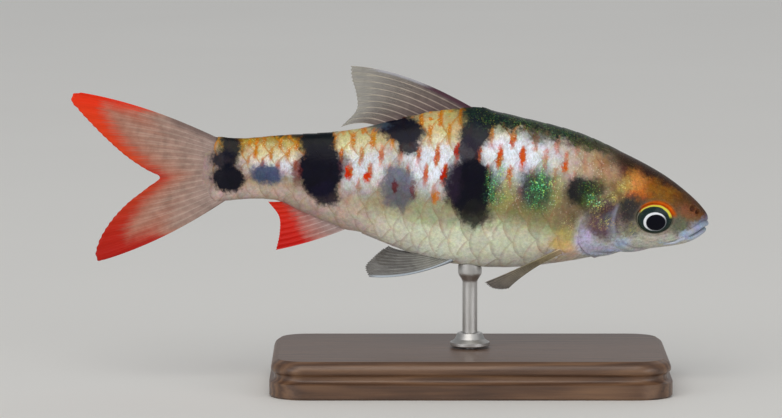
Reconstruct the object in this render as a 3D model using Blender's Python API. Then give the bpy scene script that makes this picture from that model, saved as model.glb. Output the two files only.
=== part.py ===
# A small filament barb at life size, level in mid-water, held by a rod on a low plinth.
# The head points along +X and the back is up, so the right flank faces -Y.
# The origin is the middle of the plinth's underside, straight below the rod.
#
# The fish is drawn in its own frame first, in millimetres: "along" runs from the tip of
# the snout to the tail, "up" rises from the snout's level, and "side" is + on the left.

import math

import bmesh
import bpy
import numpy as np

MM = 0.001

# Size and pose
STANDARD_LENGTH = 80.0
PITCH = math.radians(5.76)
SNOUT_X = 38.2
SNOUT_Z = 27.0
GAP = 0.3

# Body: along, top, bottom, half width
STATIONS = (
    (0.0, -0.2, -0.2, 0.0),
    (1.0, 1.5, -3.1, 1.7),
    (3.2, 3.35, -4.4, 2.75),
    (8.4, 6.5, -5.75, 4.35),
    (15.0, 9.2, -7.25, 5.35),
    (22.8, 11.65, -9.4, 6.15),
    (30.0, 12.8, -10.95, 6.2),
    (38.0, 13.5, -11.45, 5.8),
    (44.5, 12.4, -10.85, 5.2),
    (52.0, 10.1, -8.95, 4.2),
    (60.0, 7.9, -6.5, 3.1),
    (70.0, 6.2, -4.05, 2.0),
    (77.0, 5.05, -4.95, 1.5),
    (81.0, 5.2, -6.0, 1.15),
)
WIDEST_LEVEL = 0.52
BACK_KEEL = 1.15
BELLY_ROUND = 0.9
SMALLEST_REACH = 0.001
RINGS = 44
RING_CROWDING = 1.8
POINTS_ROUND = 30

# Where the body is parted: along, up
GILL_LINE = (
    (17.1, 14.0),
    (16.9, 10.0),
    (16.2, 6.0),
    (15.3, 2.9),
    (17.0, 1.8),
    (18.8, 0.6),
    (20.0, -0.7),
    (20.5, -2.2),
    (20.7, -4.1),
    (20.5, -5.7),
    (19.4, -7.1),
    (17.4, -8.2),
    (14.6, -10.0),
)
FIRST_COVER_POINT = 3
LAST_COVER_POINT = 10
COVER_FRONT = (
    (17.0, -7.1),
    (14.2, -6.6),
    (12.2, -5.9),
    (13.4, -4.9),
    (14.3, -3.9),
    (14.8, -2.1),
    (15.0, -0.5),
    (14.9, 1.2),
)
COVER_RAISE = 0.25
COVER_DEPTH = 1.0
COVER_MIDDLE_GAP = 0.8
TAIL_CUT = 67.2

# Room round the fish for the outlines that part it
ACROSS = 12.0
ABOVE = 18.0
BELOW = -16.0
AHEAD = -3.0
ASTERN = 86.0

# Head
EYE_CENTRE = (8.6, -0.75)
EYE_HALF_LENGTH = 2.95
EYE_HALF_HEIGHT = 2.5
EYE_HALF_DEPTH = 1.6
EYE_BULGE = 0.4
MOUTH_LINE = ((-1.0, -1.25), (0.5, -1.6), (1.5, -2.35), (2.6, -3.1), (3.4, -3.55))
JAW_BACK = ((5.4, -5.0), (6.6, -8.0), (-1.0, -8.0))
LIP_RADIUS = 0.45
LIP_STEP = 0.42
LIP_START = 0.6
LIP_LEAD = 0.1
LIP_SUNK = 0.12
LIP_TAPER = 0.45
NOSTRILS = ((2.0, 0.95, 0.34), (2.75, 1.4, 0.45))
NOSTRIL_SQUASH = 0.8
BARBEL_ROOT = (3.7, -3.5)
BARBEL_TIP = (6.6, -4.55)
BARBEL_STAND_OFF = (0.35, 0.65)
BARBEL_BOW = 0.18
BARBEL_RADIUS = 0.3
BARBEL_TAPER = 0.6

# Fins
# The paired fins are not held quite alike: the left ones lie nearer the body.
PECTORAL_BENDS = {
    "right": ((28.0, 7.6, -9.3), (27.6, 7.3, -9.5), (27.0, 6.6, -9.4)),
    "left": ((28.0, 8.0, -8.6), (27.6, 7.7, -8.9), (27.0, 7.0, -8.9)),
}
PECTORAL_TIPS = {
    "right": ((34.9, 9.6, -12.9), (33.8, 8.9, -13.7), (32.2, 8.1, -13.95), (30.2, 7.2, -13.8)),
    "left": ((34.9, 10.6, -10.6), (33.9, 10.1, -11.5), (32.3, 9.4, -12.0), (30.4, 8.5, -12.1)),
}
PELVIC_TIPS = {
    "right": ((53.3, 5.8, -14.3), (54.0, 4.7, -12.9), (52.9, 3.3, -11.4), (51.4, 2.0, -9.95)),
    "left": ((51.8, 5.9, -13.6), (52.5, 4.8, -12.4), (51.7, 3.4, -11.1), (50.6, 2.1, -9.9)),
}
RAY_RIDGE = 0.3
RAY_TAPER = 0.6
COLUMNS_PER_RAY = 3
MEMBRANE = 0.5
FIN_ROOT_EXTRA = 0.3
WEB_NOTCH = 0.03

# Stand
PLINTH_LENGTH = 64.0
PLINTH_WIDTH = 38.0
PLINTH_HEIGHT = 6.0
PLINTH_CORNER = 6.0
# How far the edge is set back at each height, from the underside up
PLINTH_EDGE = (
    (0.0, 0.0),
    (0.0, 2.4),
    (0.8, 3.0),
    (0.8, 3.6),
    (0.3, 4.2),
    (0.5, 5.3),
    (1.4, PLINTH_HEIGHT),
)
PLINTH_SOCKET_DEPTH = 3.0
ROD_RADIUS = 1.2
ROD_PAD_RADIUS = 1.9
ROD_PAD_START = 16.6
ROD_PAD_FLARE = 1.6
ROD_TOP = 22.0
COLLAR_RADIUS = 3.2
COLLAR_HEIGHT = 2.2
COLLAR_EDGE = ((0.0, 0.0), (0.0, 0.7), (0.9, 1.2), (1.2, COLLAR_HEIGHT))


# Curves

def smooth_value(x, xs, ys):
    """A smooth curve through the points (xs, ys), read at x."""
    xs = np.asarray(xs, float)
    ys = np.asarray(ys, float)
    slopes = np.gradient(ys, xs)
    x = np.clip(x, xs[0], xs[-1])
    i = np.clip(np.searchsorted(xs, x, side="right") - 1, 0, len(xs) - 2)
    step = xs[i + 1] - xs[i]
    f = (x - xs[i]) / step
    start = (1 + 2 * f) * (1 - f) ** 2 * ys[i] + f * (1 - f) ** 2 * step * slopes[i]
    end = f * f * (3 - 2 * f) * ys[i + 1] + f * f * (f - 1) * step * slopes[i + 1]
    return start + end


def smooth_path(points, count):
    """count points, evenly spaced, along a smooth curve through the given ones."""
    points = np.array(points, float)
    steps = np.linalg.norm(np.diff(points, axis=0), axis=1)
    run = np.concatenate([[0], np.cumsum(steps)])
    where = np.linspace(0, run[-1], count)
    return np.stack([smooth_value(where, run, column) for column in points.T], axis=-1)


def grown(outline, by):
    """A flat closed outline, drawn anticlockwise or clockwise, moved outwards."""
    outline = np.array(outline, float)
    ahead = np.roll(outline, -1, axis=0) - np.roll(outline, 1, axis=0)
    out = np.stack([ahead[:, 1], -ahead[:, 0]], axis=1)
    out /= np.linalg.norm(out, axis=1)[:, None]
    x, z = outline.T
    turn = np.sum(x * np.roll(z, -1) - np.roll(x, -1) * z)
    return outline + out * by * np.sign(turn)


# Body shape

def body_at(along):
    """top, bottom and half width of the body; the root makes the snout round."""
    table = np.array(STATIONS)
    reach = np.sqrt(np.clip(along, 0, None) / STANDARD_LENGTH)
    stops = np.sqrt(table[:, 0] / STANDARD_LENGTH)
    return [smooth_value(reach, stops, table[:, k]) for k in (1, 2, 3)]


def side_at(along, up):
    """How far the flank stands from the middle plane at this place."""
    top, bottom, half_width = body_at(along)
    middle = bottom + WIDEST_LEVEL * (top - bottom)
    above = up > middle
    reach = np.where(above, top - middle, middle - bottom)
    level = np.clip(abs(up - middle) / np.maximum(reach, SMALLEST_REACH), 0, 1)
    power = np.where(above, BACK_KEEL, BELLY_ROUND)
    return half_width * np.sqrt(1 - level**2) ** power


def local(along, side, up):
    """A point of the fish's own frame, in metres."""
    return (-along * MM, side * MM, up * MM)


def new_object(name, points, faces):
    mesh = bpy.data.meshes.new(name)
    mesh.from_pydata([tuple(p) for p in points], [], faces)
    obj = bpy.data.objects.new(name, mesh)
    bpy.context.collection.objects.link(obj)
    face_outwards(obj)
    return obj


def face_outwards(obj):
    bm = bmesh.new()
    bm.from_mesh(obj.data)
    bmesh.ops.recalc_face_normals(bm, faces=bm.faces)
    bm.to_mesh(obj.data)
    bm.free()


def body(name, offset=0.0):
    """The whole body as one closed loft, grown or shrunk by an offset."""
    last = STATIONS[-1][0]
    alongs = last * np.linspace(0, 1, RINGS + 1)[1:] ** RING_CROWDING
    turns = np.linspace(0, 2 * math.pi, POINTS_ROUND, endpoint=False)
    points = [local(0, 0, STATIONS[0][1])]
    for along in alongs:
        top, bottom, half_width = body_at(along)
        middle = bottom + WIDEST_LEVEL * (top - bottom)
        for turn in turns:
            high = math.cos(turn) > 0
            reach = top - middle if high else middle - bottom
            power = BACK_KEEL if high else BELLY_ROUND
            out = abs(math.sin(turn)) ** power * half_width
            side = math.copysign(out, math.sin(turn))
            points.append(local(along, side, middle + reach * math.cos(turn)))
    faces = []
    for j in range(POINTS_ROUND):
        k = (j + 1) % POINTS_ROUND
        faces.append((0, 1 + j, 1 + k))
        for ring in range(RINGS - 1):
            a = 1 + ring * POINTS_ROUND
            b = a + POINTS_ROUND
            faces.append((a + j, b + j, b + k, a + k))
    end = 1 + (RINGS - 1) * POINTS_ROUND
    faces.append(tuple(end + j for j in range(POINTS_ROUND)))
    obj = new_object(name, points, faces)
    if offset:
        bm = bmesh.new()
        bm.from_mesh(obj.data)
        bm.normal_update()
        moves = [v.normal.copy() * offset * MM for v in bm.verts]
        for v, move in zip(bm.verts, moves):
            v.co += move
        bm.to_mesh(obj.data)
        bm.free()
    return obj


def prism(name, outline, side_from, side_to):
    """A flat outline of the fish's side view, stretched across it."""
    count = len(outline)
    points = [local(a, side_from, u) for a, u in outline]
    points += [local(a, side_to, u) for a, u in outline]
    faces = [tuple(range(count)), tuple(range(count, 2 * count))]
    for j in range(count):
        k = (j + 1) % count
        faces.append((j, k, count + k, count + j))
    return new_object(name, points, faces)


def ball(name, centre, half_sizes, turned=np.eye(3), rings=10, around=16):
    """An ellipsoid in the fish's frame: half sizes along, side and up, then turned so that
    those three ways become the rows of turned."""
    points = [np.array([0, -1, 0])]
    for ring in range(1, rings):
        lift = math.pi * ring / rings
        for turn in np.linspace(0, 2 * math.pi, around, endpoint=False):
            spread = math.sin(lift)
            points.append(np.array([spread * math.cos(turn), -math.cos(lift), spread * math.sin(turn)]))
    points.append(np.array([0, 1, 0]))
    last = len(points) - 1
    faces = []
    for j in range(around):
        k = (j + 1) % around
        faces.append((0, 1 + j, 1 + k))
        faces.append((last, last - around + k, last - around + j))
        for ring in range(rings - 2):
            a = 1 + ring * around
            b = a + around
            faces.append((a + j, b + j, b + k, a + k))
    places = [local(*(np.array(centre) + (p * half_sizes) @ turned)) for p in points]
    return new_object(name, places, faces)


def tube(name, path, radii, sides=7):
    """A round rod along a path of (along, side, up), closed at both ends."""
    path = np.array(path, float)
    count = len(path)
    ahead = np.gradient(path, axis=0)
    ahead /= np.linalg.norm(ahead, axis=1)[:, None]
    points = []
    for place, way, radius in zip(path, ahead, radii):
        across = np.cross(way, (0, 0, 1))
        across /= np.linalg.norm(across)
        over = np.cross(across, way)
        for turn in np.linspace(0, 2 * math.pi, sides, endpoint=False):
            points.append(local(*(place + radius * (math.cos(turn) * across + math.sin(turn) * over))))
    faces = [tuple(range(sides)), tuple(range((count - 1) * sides, count * sides))]
    for ring in range(count - 1):
        for j in range(sides):
            k = (j + 1) % sides
            a = ring * sides
            b = a + sides
            faces.append((a + j, b + j, b + k, a + k))
    return new_object(name, points, faces)


# Cutting and joining

def apply_modifiers(obj):
    graph = bpy.context.evaluated_depsgraph_get()
    mesh = bpy.data.meshes.new_from_object(obj.evaluated_get(graph))
    obj.modifiers.clear()
    old = obj.data
    obj.data = mesh
    bpy.data.meshes.remove(old)


def combine(obj, tool, operation):
    """Cuts or joins obj with a tool mesh, which is used up."""
    modifier = obj.modifiers.new(operation.lower(), "BOOLEAN")
    modifier.operation = operation
    modifier.object = tool
    apply_modifiers(obj)
    keep_largest(obj)
    bpy.data.objects.remove(tool)
    return obj


def keep_largest(obj):
    """Drops every closed surface but the one that holds the most."""
    bm = bmesh.new()
    bm.from_mesh(obj.data)
    bmesh.ops.triangulate(bm, faces=bm.faces)
    left = set(bm.faces)
    shells = []
    while left:
        shell = set()
        frontier = [left.pop()]
        while frontier:
            face = frontier.pop()
            shell.add(face)
            for edge in face.edges:
                near = [f for f in edge.link_faces if f in left]
                left.difference_update(near)
                frontier += near
        shells.append(shell)
    volumes = []
    for shell in shells:
        corners = [[v.co for v in f.verts] for f in shell]
        volumes.append(sum(a.dot(b.cross(c)) for a, b, c in corners))
    best = shells[int(np.argmax(volumes))]
    bmesh.ops.delete(bm, geom=[f for f in bm.faces if f not in best], context="FACES")
    bmesh.ops.delete(bm, geom=[v for v in bm.verts if not v.link_faces], context="VERTS")
    bm.to_mesh(obj.data)
    bm.free()


# Head, torso and tail

def gill_path():
    return smooth_path(GILL_LINE, 40)


def behind(path, by):
    """A path from top to bottom, moved towards the tail."""
    ahead = np.gradient(path, axis=0)
    out = np.stack([-ahead[:, 1], ahead[:, 0]], axis=1)
    out /= np.linalg.norm(out, axis=1)[:, None]
    return path + out * by


def cover_outline():
    rear = smooth_path(GILL_LINE[FIRST_COVER_POINT:LAST_COVER_POINT + 1], 18)
    front = smooth_path(COVER_FRONT, 16)
    return np.vstack([rear, front])


def make_head():
    front = gill_path()
    outline = np.vstack([front, [(AHEAD, front[-1][1]), (AHEAD, front[0][1])]])
    head = combine(body("head"), prism("region", outline, -ACROSS, ACROSS), "INTERSECT")
    for sign in (-1, 1):
        inside, outside = sign * (COVER_MIDDLE_GAP - GAP), sign * ACROSS
        recess = prism("recess", grown(cover_outline(), GAP), inside, outside)
        combine(recess, body("inner", -COVER_DEPTH - GAP), "DIFFERENCE")
        combine(head, recess, "DIFFERENCE")
        combine(head, eye_ball("socket", sign, GAP), "DIFFERENCE")
        for along, up, radius in NOSTRILS:
            centre = (along, sign * float(side_at(along, up)), up)
            pit = ball("nostril", centre, (radius, radius, radius * NOSTRIL_SQUASH), rings=6, around=8)
            combine(head, pit, "DIFFERENCE")
    combine(head, lip("upper lip", LIP_STEP), "UNION")
    combine(head, prism("jaw room", grown(jaw_outline(), GAP), -ACROSS, ACROSS), "DIFFERENCE")
    return head


def jaw_outline():
    return np.vstack([smooth_path(MOUTH_LINE, 9), JAW_BACK])


def lip(name, above):
    """A bead that follows the mouth line round the snout, a little above or below it."""
    line = smooth_path(MOUTH_LINE, 25) + (0, above)
    half = [(a, LIP_SUNK - float(side_at(a, u)), u) for a, u in line if side_at(a, u) > LIP_START]
    front = (half[0][0] - LIP_LEAD, 0.0, half[0][2])
    right = half[::-4]
    left = [(a, -s, u) for a, s, u in right[::-1]]
    path = smooth_path(right + [front] + left, 19)
    ends = np.linspace(-1, 1, len(path))
    return tube(name, path, LIP_RADIUS * (1 - LIP_TAPER * ends**4))


def make_lower_jaw():
    jaw = body("lower_jaw")
    combine(jaw, lip("lower lip", -LIP_STEP), "UNION")
    combine(jaw, prism("jaw region", jaw_outline(), -ACROSS, ACROSS), "INTERSECT")
    return jaw


def flank_ways(along, up, sign):
    """Backwards along the flank, straight out of it, and up it, as rows."""
    step = 1.0
    slope_back = float(side_at(along + step, up) - side_at(along - step, up)) / (2 * step)
    slope_up = float(side_at(along, up + step) - side_at(along, up - step)) / (2 * step)
    out = np.array([-slope_back, 1, -slope_up])
    out /= np.linalg.norm(out)
    back = np.array([1, slope_back, 0])
    back /= np.linalg.norm(back)
    ways = np.stack([back, out, np.cross(back, out)])
    return ways * (1, sign, 1)


def eye_ball(name, sign, grow=0.0):
    ways = flank_ways(*EYE_CENTRE, sign)
    surface = np.array([EYE_CENTRE[0], sign * float(side_at(*EYE_CENTRE)), EYE_CENTRE[1]])
    centre = surface + ways[1] * (EYE_BULGE - EYE_HALF_DEPTH)
    sizes = np.array([EYE_HALF_LENGTH, EYE_HALF_DEPTH, EYE_HALF_HEIGHT]) + grow
    return ball(name, centre, sizes, ways, rings=12, around=24)


def make_cover(name, sign):
    cover = prism(name, cover_outline(), sign * COVER_MIDDLE_GAP, sign * ACROSS)
    combine(cover, body("outer", COVER_RAISE), "INTERSECT")
    combine(cover, body("inner", -COVER_DEPTH), "DIFFERENCE")
    return cover


def make_barbel(name, sign):
    ends = (BARBEL_ROOT, BARBEL_TIP)
    path = [(a, sign * (float(side_at(a, u)) + off), u) for (a, u), off in zip(ends, BARBEL_STAND_OFF)]
    middle = (np.array(path[0]) + path[1]) / 2 + np.array([0, sign, -1]) * BARBEL_BOW
    points = smooth_path([path[0], middle, path[1]], 7)
    radii = BARBEL_RADIUS * np.linspace(1, BARBEL_TAPER, len(points))
    barbel = tube(name, points, radii)
    return combine(barbel, body("clear of body", GAP), "DIFFERENCE")


def make_torso():
    front = behind(gill_path(), GAP)
    outline = np.vstack([front, [(TAIL_CUT, BELOW), (TAIL_CUT, ABOVE)]])
    return combine(body("torso"), prism("region", outline, -ACROSS, ACROSS), "INTERSECT")


def make_tail():
    start = TAIL_CUT + GAP
    outline = ((start, ABOVE), (start, BELOW), (ASTERN, BELOW), (ASTERN, ABOVE))
    return combine(body("tail"), prism("region", outline, -ACROSS, ACROSS), "INTERSECT")


# Fins

def fin(name, ray_count, rows, roots, bends, tips):
    """A membrane stretched between rays. roots, bends and tips are (along, side, up) of
    some of the rays, from the leading one back; each ray is a curve from its root past
    its bend to its tip, and the rest lie smoothly between."""
    columns = COLUMNS_PER_RAY * (ray_count - 1) + 1
    root, bend, tip = (smooth_path(points, columns) for points in (roots, bends, tips))
    grid = np.zeros((columns, rows + 1, 3))
    thick = np.zeros((columns, rows + 1))
    for j in range(columns):
        on_ray = j % COLUMNS_PER_RAY == 0
        reach = 1.0 if on_ray else 1 - WEB_NOTCH
        f = reach * np.linspace(0, 1, rows + 1)[:, None]
        grid[j] = (1 - f) ** 2 * root[j] + 2 * f * (1 - f) * bend[j] + f**2 * tip[j]
        at_root = (1 - np.linspace(0, 1, rows + 1)) ** 2
        thick[j] = MEMBRANE + FIN_ROOT_EXTRA * at_root
        if on_ray:
            thick[j] += RAY_RIDGE * (1 - RAY_TAPER * np.linspace(0, 1, rows + 1))
    out = np.cross(np.gradient(grid, axis=0), np.gradient(grid, axis=1))
    out /= np.linalg.norm(out, axis=2)[:, :, None]
    near = grid + out * thick[:, :, None] / 2
    far = grid - out * thick[:, :, None] / 2
    points = [local(*p) for p in near.reshape(-1, 3)] + [local(*p) for p in far.reshape(-1, 3)]
    return new_object(name, points, fin_faces(columns, rows + 1))


def fin_faces(columns, rows):
    """Both sheets split along the same diagonals, and the rim between them."""
    half = columns * rows
    faces = []
    for j in range(columns - 1):
        for r in range(rows - 1):
            a = j * rows + r
            b = a + rows
            for tri in ((a, b, b + 1), (a, b + 1, a + 1)):
                faces.append(tri)
                faces.append(tuple(half + v for v in reversed(tri)))
    rim = [j * rows for j in range(columns)]
    rim += [(columns - 1) * rows + r for r in range(1, rows)]
    rim += [j * rows + rows - 1 for j in range(columns - 2, -1, -1)]
    rim += list(range(rows - 2, 0, -1))
    for k, a in enumerate(rim):
        b = rim[(k + 1) % len(rim)]
        faces.append((a, b, half + b))
        faces.append((a, half + b, half + a))
    return faces


def rooted(obj, extra=0.0):
    """The fin's base is cut to the body's own shape, a gap clear of it."""
    return combine(obj, body("clear of body", GAP + extra), "DIFFERENCE")


def mirrored(points, sign):
    return [(a, s * sign, u) for a, s, u in points]


def make_dorsal_fin():
    roots = ((37.4, 0, 12.9), (45.8, 0, 11.4), (53.1, 0, 8.9))
    bends = ((50.5, -0.2, 19.2), (53.7, -0.3, 14.6), (56.4, -0.1, 10.5))
    tips = ((59.5, 0.5, 18.5), (59.2, 0.3, 16.7), (58.3, 0.0, 14.5), (57.8, -0.2, 12.1), (60.1, 0.0, 8.6))
    return rooted(fin("dorsal_fin", 12, 8, roots, bends, tips))


def make_anal_fin():
    roots = ((56.5, 0, -7.0), (61.1, 0, -5.3), (65.9, 0, -3.6))
    bends = ((61.9, 0.2, -10.1), (64.9, 0.3, -7.2), (68.0, 0, -4.4))
    tips = ((68.5, -0.4, -12.1), (68.2, -0.2, -9.5), (68.5, 0.1, -6.8), (70.5, 0, -4.5))
    return rooted(fin("anal_fin", 8, 7, roots, bends, tips))


def make_tail_lobe_upper():
    roots = ((80.2, 0, 5.1), (79.7, 0, 2.5), (79.7, 0, -0.25))
    bends = ((92.3, 0.4, 9.3), (88.6, 0.3, 4.2), (83.9, 0, -1.15))
    tips = (
        (103.6, -1.0, 9.6),
        (102.2, -0.9, 7.3),
        (97.4, -0.5, 3.1),
        (93.2, -0.2, 0.1),
        (90.1, 0, -1.5),
        (88.1, 0, -2.05),
    )
    return rooted(fin("tail_lobe_upper", 10, 9, roots, bends, tips))


def make_tail_lobe_lower():
    roots = ((79.7, 0, -0.6), (79.7, 0, -3.3), (80.2, 0, -5.9))
    bends = ((83.9, 0, -1.6), (87.2, -0.3, -6.4), (88.2, -0.4, -13.9))
    tips = (
        (88.0, 0, -2.6),
        (90.0, 0.1, -4.2),
        (93.0, 0.3, -7.1),
        (95.9, 0.6, -11.2),
        (97.2, 0.9, -14.5),
        (97.0, 1.0, -16.8),
    )
    return rooted(fin("tail_lobe_lower", 9, 9, roots, bends, tips))


def make_pelvic_fin(name, sign, tips):
    roots = mirrored(((39.3, 1.9, -10.3), (41.6, 1.4, -10.25), (43.7, 0.9, -9.9)), sign)
    bends = mirrored(((46.6, 4.2, -14.4), (47.3, 3.0, -12.4), (48.2, 1.7, -10.9)), sign)
    return rooted(fin(name, 9, 6, roots, bends, mirrored(tips, sign)))


def make_pectoral_fin(name, sign, bends, tips):
    roots = mirrored(((21.9, 4.3, -5.7), (21.9, 3.9, -6.5), (21.7, 3.2, -7.3)), sign)
    return rooted(fin(name, 13, 6, roots, mirrored(bends, sign), mirrored(tips, sign)))


# Stand

def rounded_rectangle(length, width, corner, steps=6):
    points = []
    for x, y, start in ((1, 1, 0), (-1, 1, 90), (-1, -1, 180), (1, -1, 270)):
        centre = (x * (length / 2 - corner), y * (width / 2 - corner))
        for step in range(steps + 1):
            turn = math.radians(start + 90 * step / steps)
            points.append((centre[0] + corner * math.cos(turn), centre[1] + corner * math.sin(turn)))
    return points


def lathe(name, profile, around=24):
    """A turned shape: (radius, height) from the bottom up, closed by flat ends."""
    points = []
    for radius, height in profile:
        for turn in np.linspace(0, 2 * math.pi, around, endpoint=False):
            points.append((radius * math.cos(turn) * MM, radius * math.sin(turn) * MM, height * MM))
    faces = [tuple(range(around)), tuple(range((len(profile) - 1) * around, len(profile) * around))]
    for ring in range(len(profile) - 1):
        for j in range(around):
            k = (j + 1) % around
            a = ring * around
            b = a + around
            faces.append((a + j, a + k, b + k, b + j))
    return new_object(name, points, faces)


def make_plinth():
    """A wooden slab with a cove and a rounded top edge, and a socket for the rod."""
    loops = [
        [
            (x * MM, y * MM, height * MM)
            for x, y in rounded_rectangle(
                PLINTH_LENGTH - 2 * inset, PLINTH_WIDTH - 2 * inset, PLINTH_CORNER - inset
            )
        ]
        for inset, height in PLINTH_EDGE
    ]
    count = len(loops[0])
    points = [p for loop in loops for p in loop]
    faces = [tuple(range(count)), tuple(range(len(points) - count, len(points)))]
    for ring in range(len(loops) - 1):
        for j in range(count):
            k = (j + 1) % count
            a = ring * count
            b = a + count
            faces.append((a + j, a + k, b + k, b + j))
    plinth = new_object("stand_base", points, faces)
    socket_floor = PLINTH_HEIGHT - PLINTH_SOCKET_DEPTH
    room = ROD_RADIUS + GAP
    socket = lathe("socket", ((room, socket_floor), (room, PLINTH_HEIGHT + COLLAR_HEIGHT)))
    return combine(plinth, socket, "DIFFERENCE")


def make_collar():
    foot = PLINTH_HEIGHT + GAP
    profile = [(COLLAR_RADIUS - inset, foot + height) for inset, height in COLLAR_EDGE]
    collar = lathe("stand_collar", profile)
    room = ROD_RADIUS + GAP
    bore = lathe("bore", ((room, 0), (room, foot + 2 * COLLAR_HEIGHT)))
    return combine(collar, bore, "DIFFERENCE")


def make_rod(fish):
    """A rod up to the belly, its pad hollowed to the belly's shape."""
    foot = PLINTH_HEIGHT - PLINTH_SOCKET_DEPTH + GAP
    profile = (
        (ROD_RADIUS, foot),
        (ROD_RADIUS, ROD_PAD_START),
        (ROD_PAD_RADIUS, ROD_PAD_START + ROD_PAD_FLARE),
        (ROD_PAD_RADIUS, ROD_TOP),
    )
    rod = lathe("stand_rod", profile, around=20)
    belly = body("clear of belly", GAP)
    belly.parent = fish
    bpy.context.view_layer.update()
    return combine(rod, belly, "DIFFERENCE")


# Finishes

def finish(name, colour, roughness, metallic=0.0):
    material = bpy.data.materials.new(name)
    material.use_nodes = True
    shader = material.node_tree.nodes["Principled BSDF"]
    shader.inputs["Base Color"].default_value = (*colour, 1.0)
    shader.inputs["Roughness"].default_value = roughness
    shader.inputs["Metallic"].default_value = metallic
    return material


def dress(obj, colour, roughness, metallic=0.0):
    obj.data.materials.clear()
    obj.data.materials.append(finish(obj.name, colour, roughness, metallic))
    obj.data.shade_smooth()
    obj.data.set_sharp_from_angle(angle=math.radians(35))


def clear_scene():
    for obj in list(bpy.data.objects):
        bpy.data.objects.remove(obj)


def main():
    clear_scene()
    fish = bpy.data.objects.new("fish", None)
    bpy.context.collection.objects.link(fish)
    fish.location = (SNOUT_X * MM, 0, SNOUT_Z * MM)
    fish.rotation_euler = (0, PITCH, 0)

    flesh = [
        (make_head(), (0.42, 0.33, 0.2), 0.35),
        (make_lower_jaw(), (0.5, 0.55, 0.62), 0.35),
        (make_torso(), (0.62, 0.6, 0.52), 0.3),
        (make_tail(), (0.55, 0.5, 0.42), 0.3),
        (make_dorsal_fin(), (0.45, 0.38, 0.4), 0.4),
        (make_anal_fin(), (0.75, 0.12, 0.1), 0.4),
        (make_tail_lobe_upper(), (0.75, 0.25, 0.2), 0.4),
        (make_tail_lobe_lower(), (0.72, 0.2, 0.18), 0.4),
    ]
    for side_name, sign in (("right", -1), ("left", 1)):
        flesh += [
            (make_cover(f"gill_cover_{side_name}", sign), (0.4, 0.34, 0.4), 0.3),
            (eye_ball(f"eye_{side_name}", sign), (0.05, 0.07, 0.08), 0.1),
            (make_barbel(f"barbel_{side_name}", sign), (0.6, 0.65, 0.7), 0.4),
        ]
        bends, tips = PECTORAL_BENDS[side_name], PECTORAL_TIPS[side_name]
        pectoral = make_pectoral_fin(f"pectoral_fin_{side_name}", sign, bends, tips)
        pelvic = make_pelvic_fin(f"pelvic_fin_{side_name}", sign, PELVIC_TIPS[side_name])
        flesh += [(pectoral, (0.5, 0.48, 0.4), 0.4), (pelvic, (0.55, 0.56, 0.55), 0.4)]
    for obj, colour, roughness in flesh:
        obj.parent = fish
        dress(obj, colour, roughness)

    dress(make_plinth(), (0.12, 0.06, 0.035), 0.35)
    dress(make_collar(), (0.75, 0.74, 0.72), 0.25, 1.0)
    dress(make_rod(fish), (0.75, 0.74, 0.72), 0.25, 1.0)


main()
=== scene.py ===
# A half-grown filament barb, life size, held level above a small walnut plinth.
# Shapes are worked out in millimetres in the fish's own frame: along from the snout to the
# tail, side (the right flank is negative) and up. inPlace() turns them into scene metres.
import math

import bpy
import numpy as np
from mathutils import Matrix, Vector


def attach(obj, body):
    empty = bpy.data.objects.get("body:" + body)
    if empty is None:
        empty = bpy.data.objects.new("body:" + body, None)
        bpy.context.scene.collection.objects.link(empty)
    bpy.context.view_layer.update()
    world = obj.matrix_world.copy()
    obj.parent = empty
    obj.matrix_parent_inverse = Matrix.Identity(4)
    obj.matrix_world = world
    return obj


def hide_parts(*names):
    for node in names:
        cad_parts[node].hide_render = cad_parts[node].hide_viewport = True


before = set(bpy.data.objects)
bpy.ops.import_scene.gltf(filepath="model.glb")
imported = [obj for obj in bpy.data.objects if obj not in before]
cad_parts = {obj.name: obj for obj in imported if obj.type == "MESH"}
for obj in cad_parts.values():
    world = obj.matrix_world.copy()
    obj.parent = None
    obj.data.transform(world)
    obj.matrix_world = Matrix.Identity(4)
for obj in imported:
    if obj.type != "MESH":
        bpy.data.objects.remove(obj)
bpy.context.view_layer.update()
mm = 0.001
noseDown = math.radians(5.76)
snoutAt = (38.2, 0.0, 27.0)
print("frame loaded:", len(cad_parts), "nodes")


# Curves and blends

def smoothValue(x, xs, ys):
    xs = np.asarray(xs, float)
    ys = np.asarray(ys, float)
    slopes = np.gradient(ys, xs)
    x = np.clip(x, xs[0], xs[-1])
    i = np.clip(np.searchsorted(xs, x, side="right") - 1, 0, len(xs) - 2)
    step = xs[i + 1] - xs[i]
    f = (x - xs[i]) / step
    start = (1 + 2 * f) * (1 - f) ** 2 * ys[i] + f * (1 - f) ** 2 * step * slopes[i]
    return start + f * f * (3 - 2 * f) * ys[i + 1] + f * f * (f - 1) * step * slopes[i + 1]


def smoothPath(points, count):
    points = np.array(points, float)
    run = np.concatenate([[0], np.cumsum(np.linalg.norm(np.diff(points, axis=0), axis=1))])
    where = np.linspace(0, run[-1], count)
    return np.stack([smoothValue(where, run, column) for column in points.T], axis=-1)


def fade(x, start, end):    # 0 at start, 1 at end, smooth between; works both ways round
    f = np.clip((x - start) / (end - start), 0, 1)
    return f * f * (3 - 2 * f)


def between(start, end, f):
    return start + (end - start) * f


def hump(x, middle, width):
    return np.exp(-((x - middle) / width) ** 2)


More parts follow.
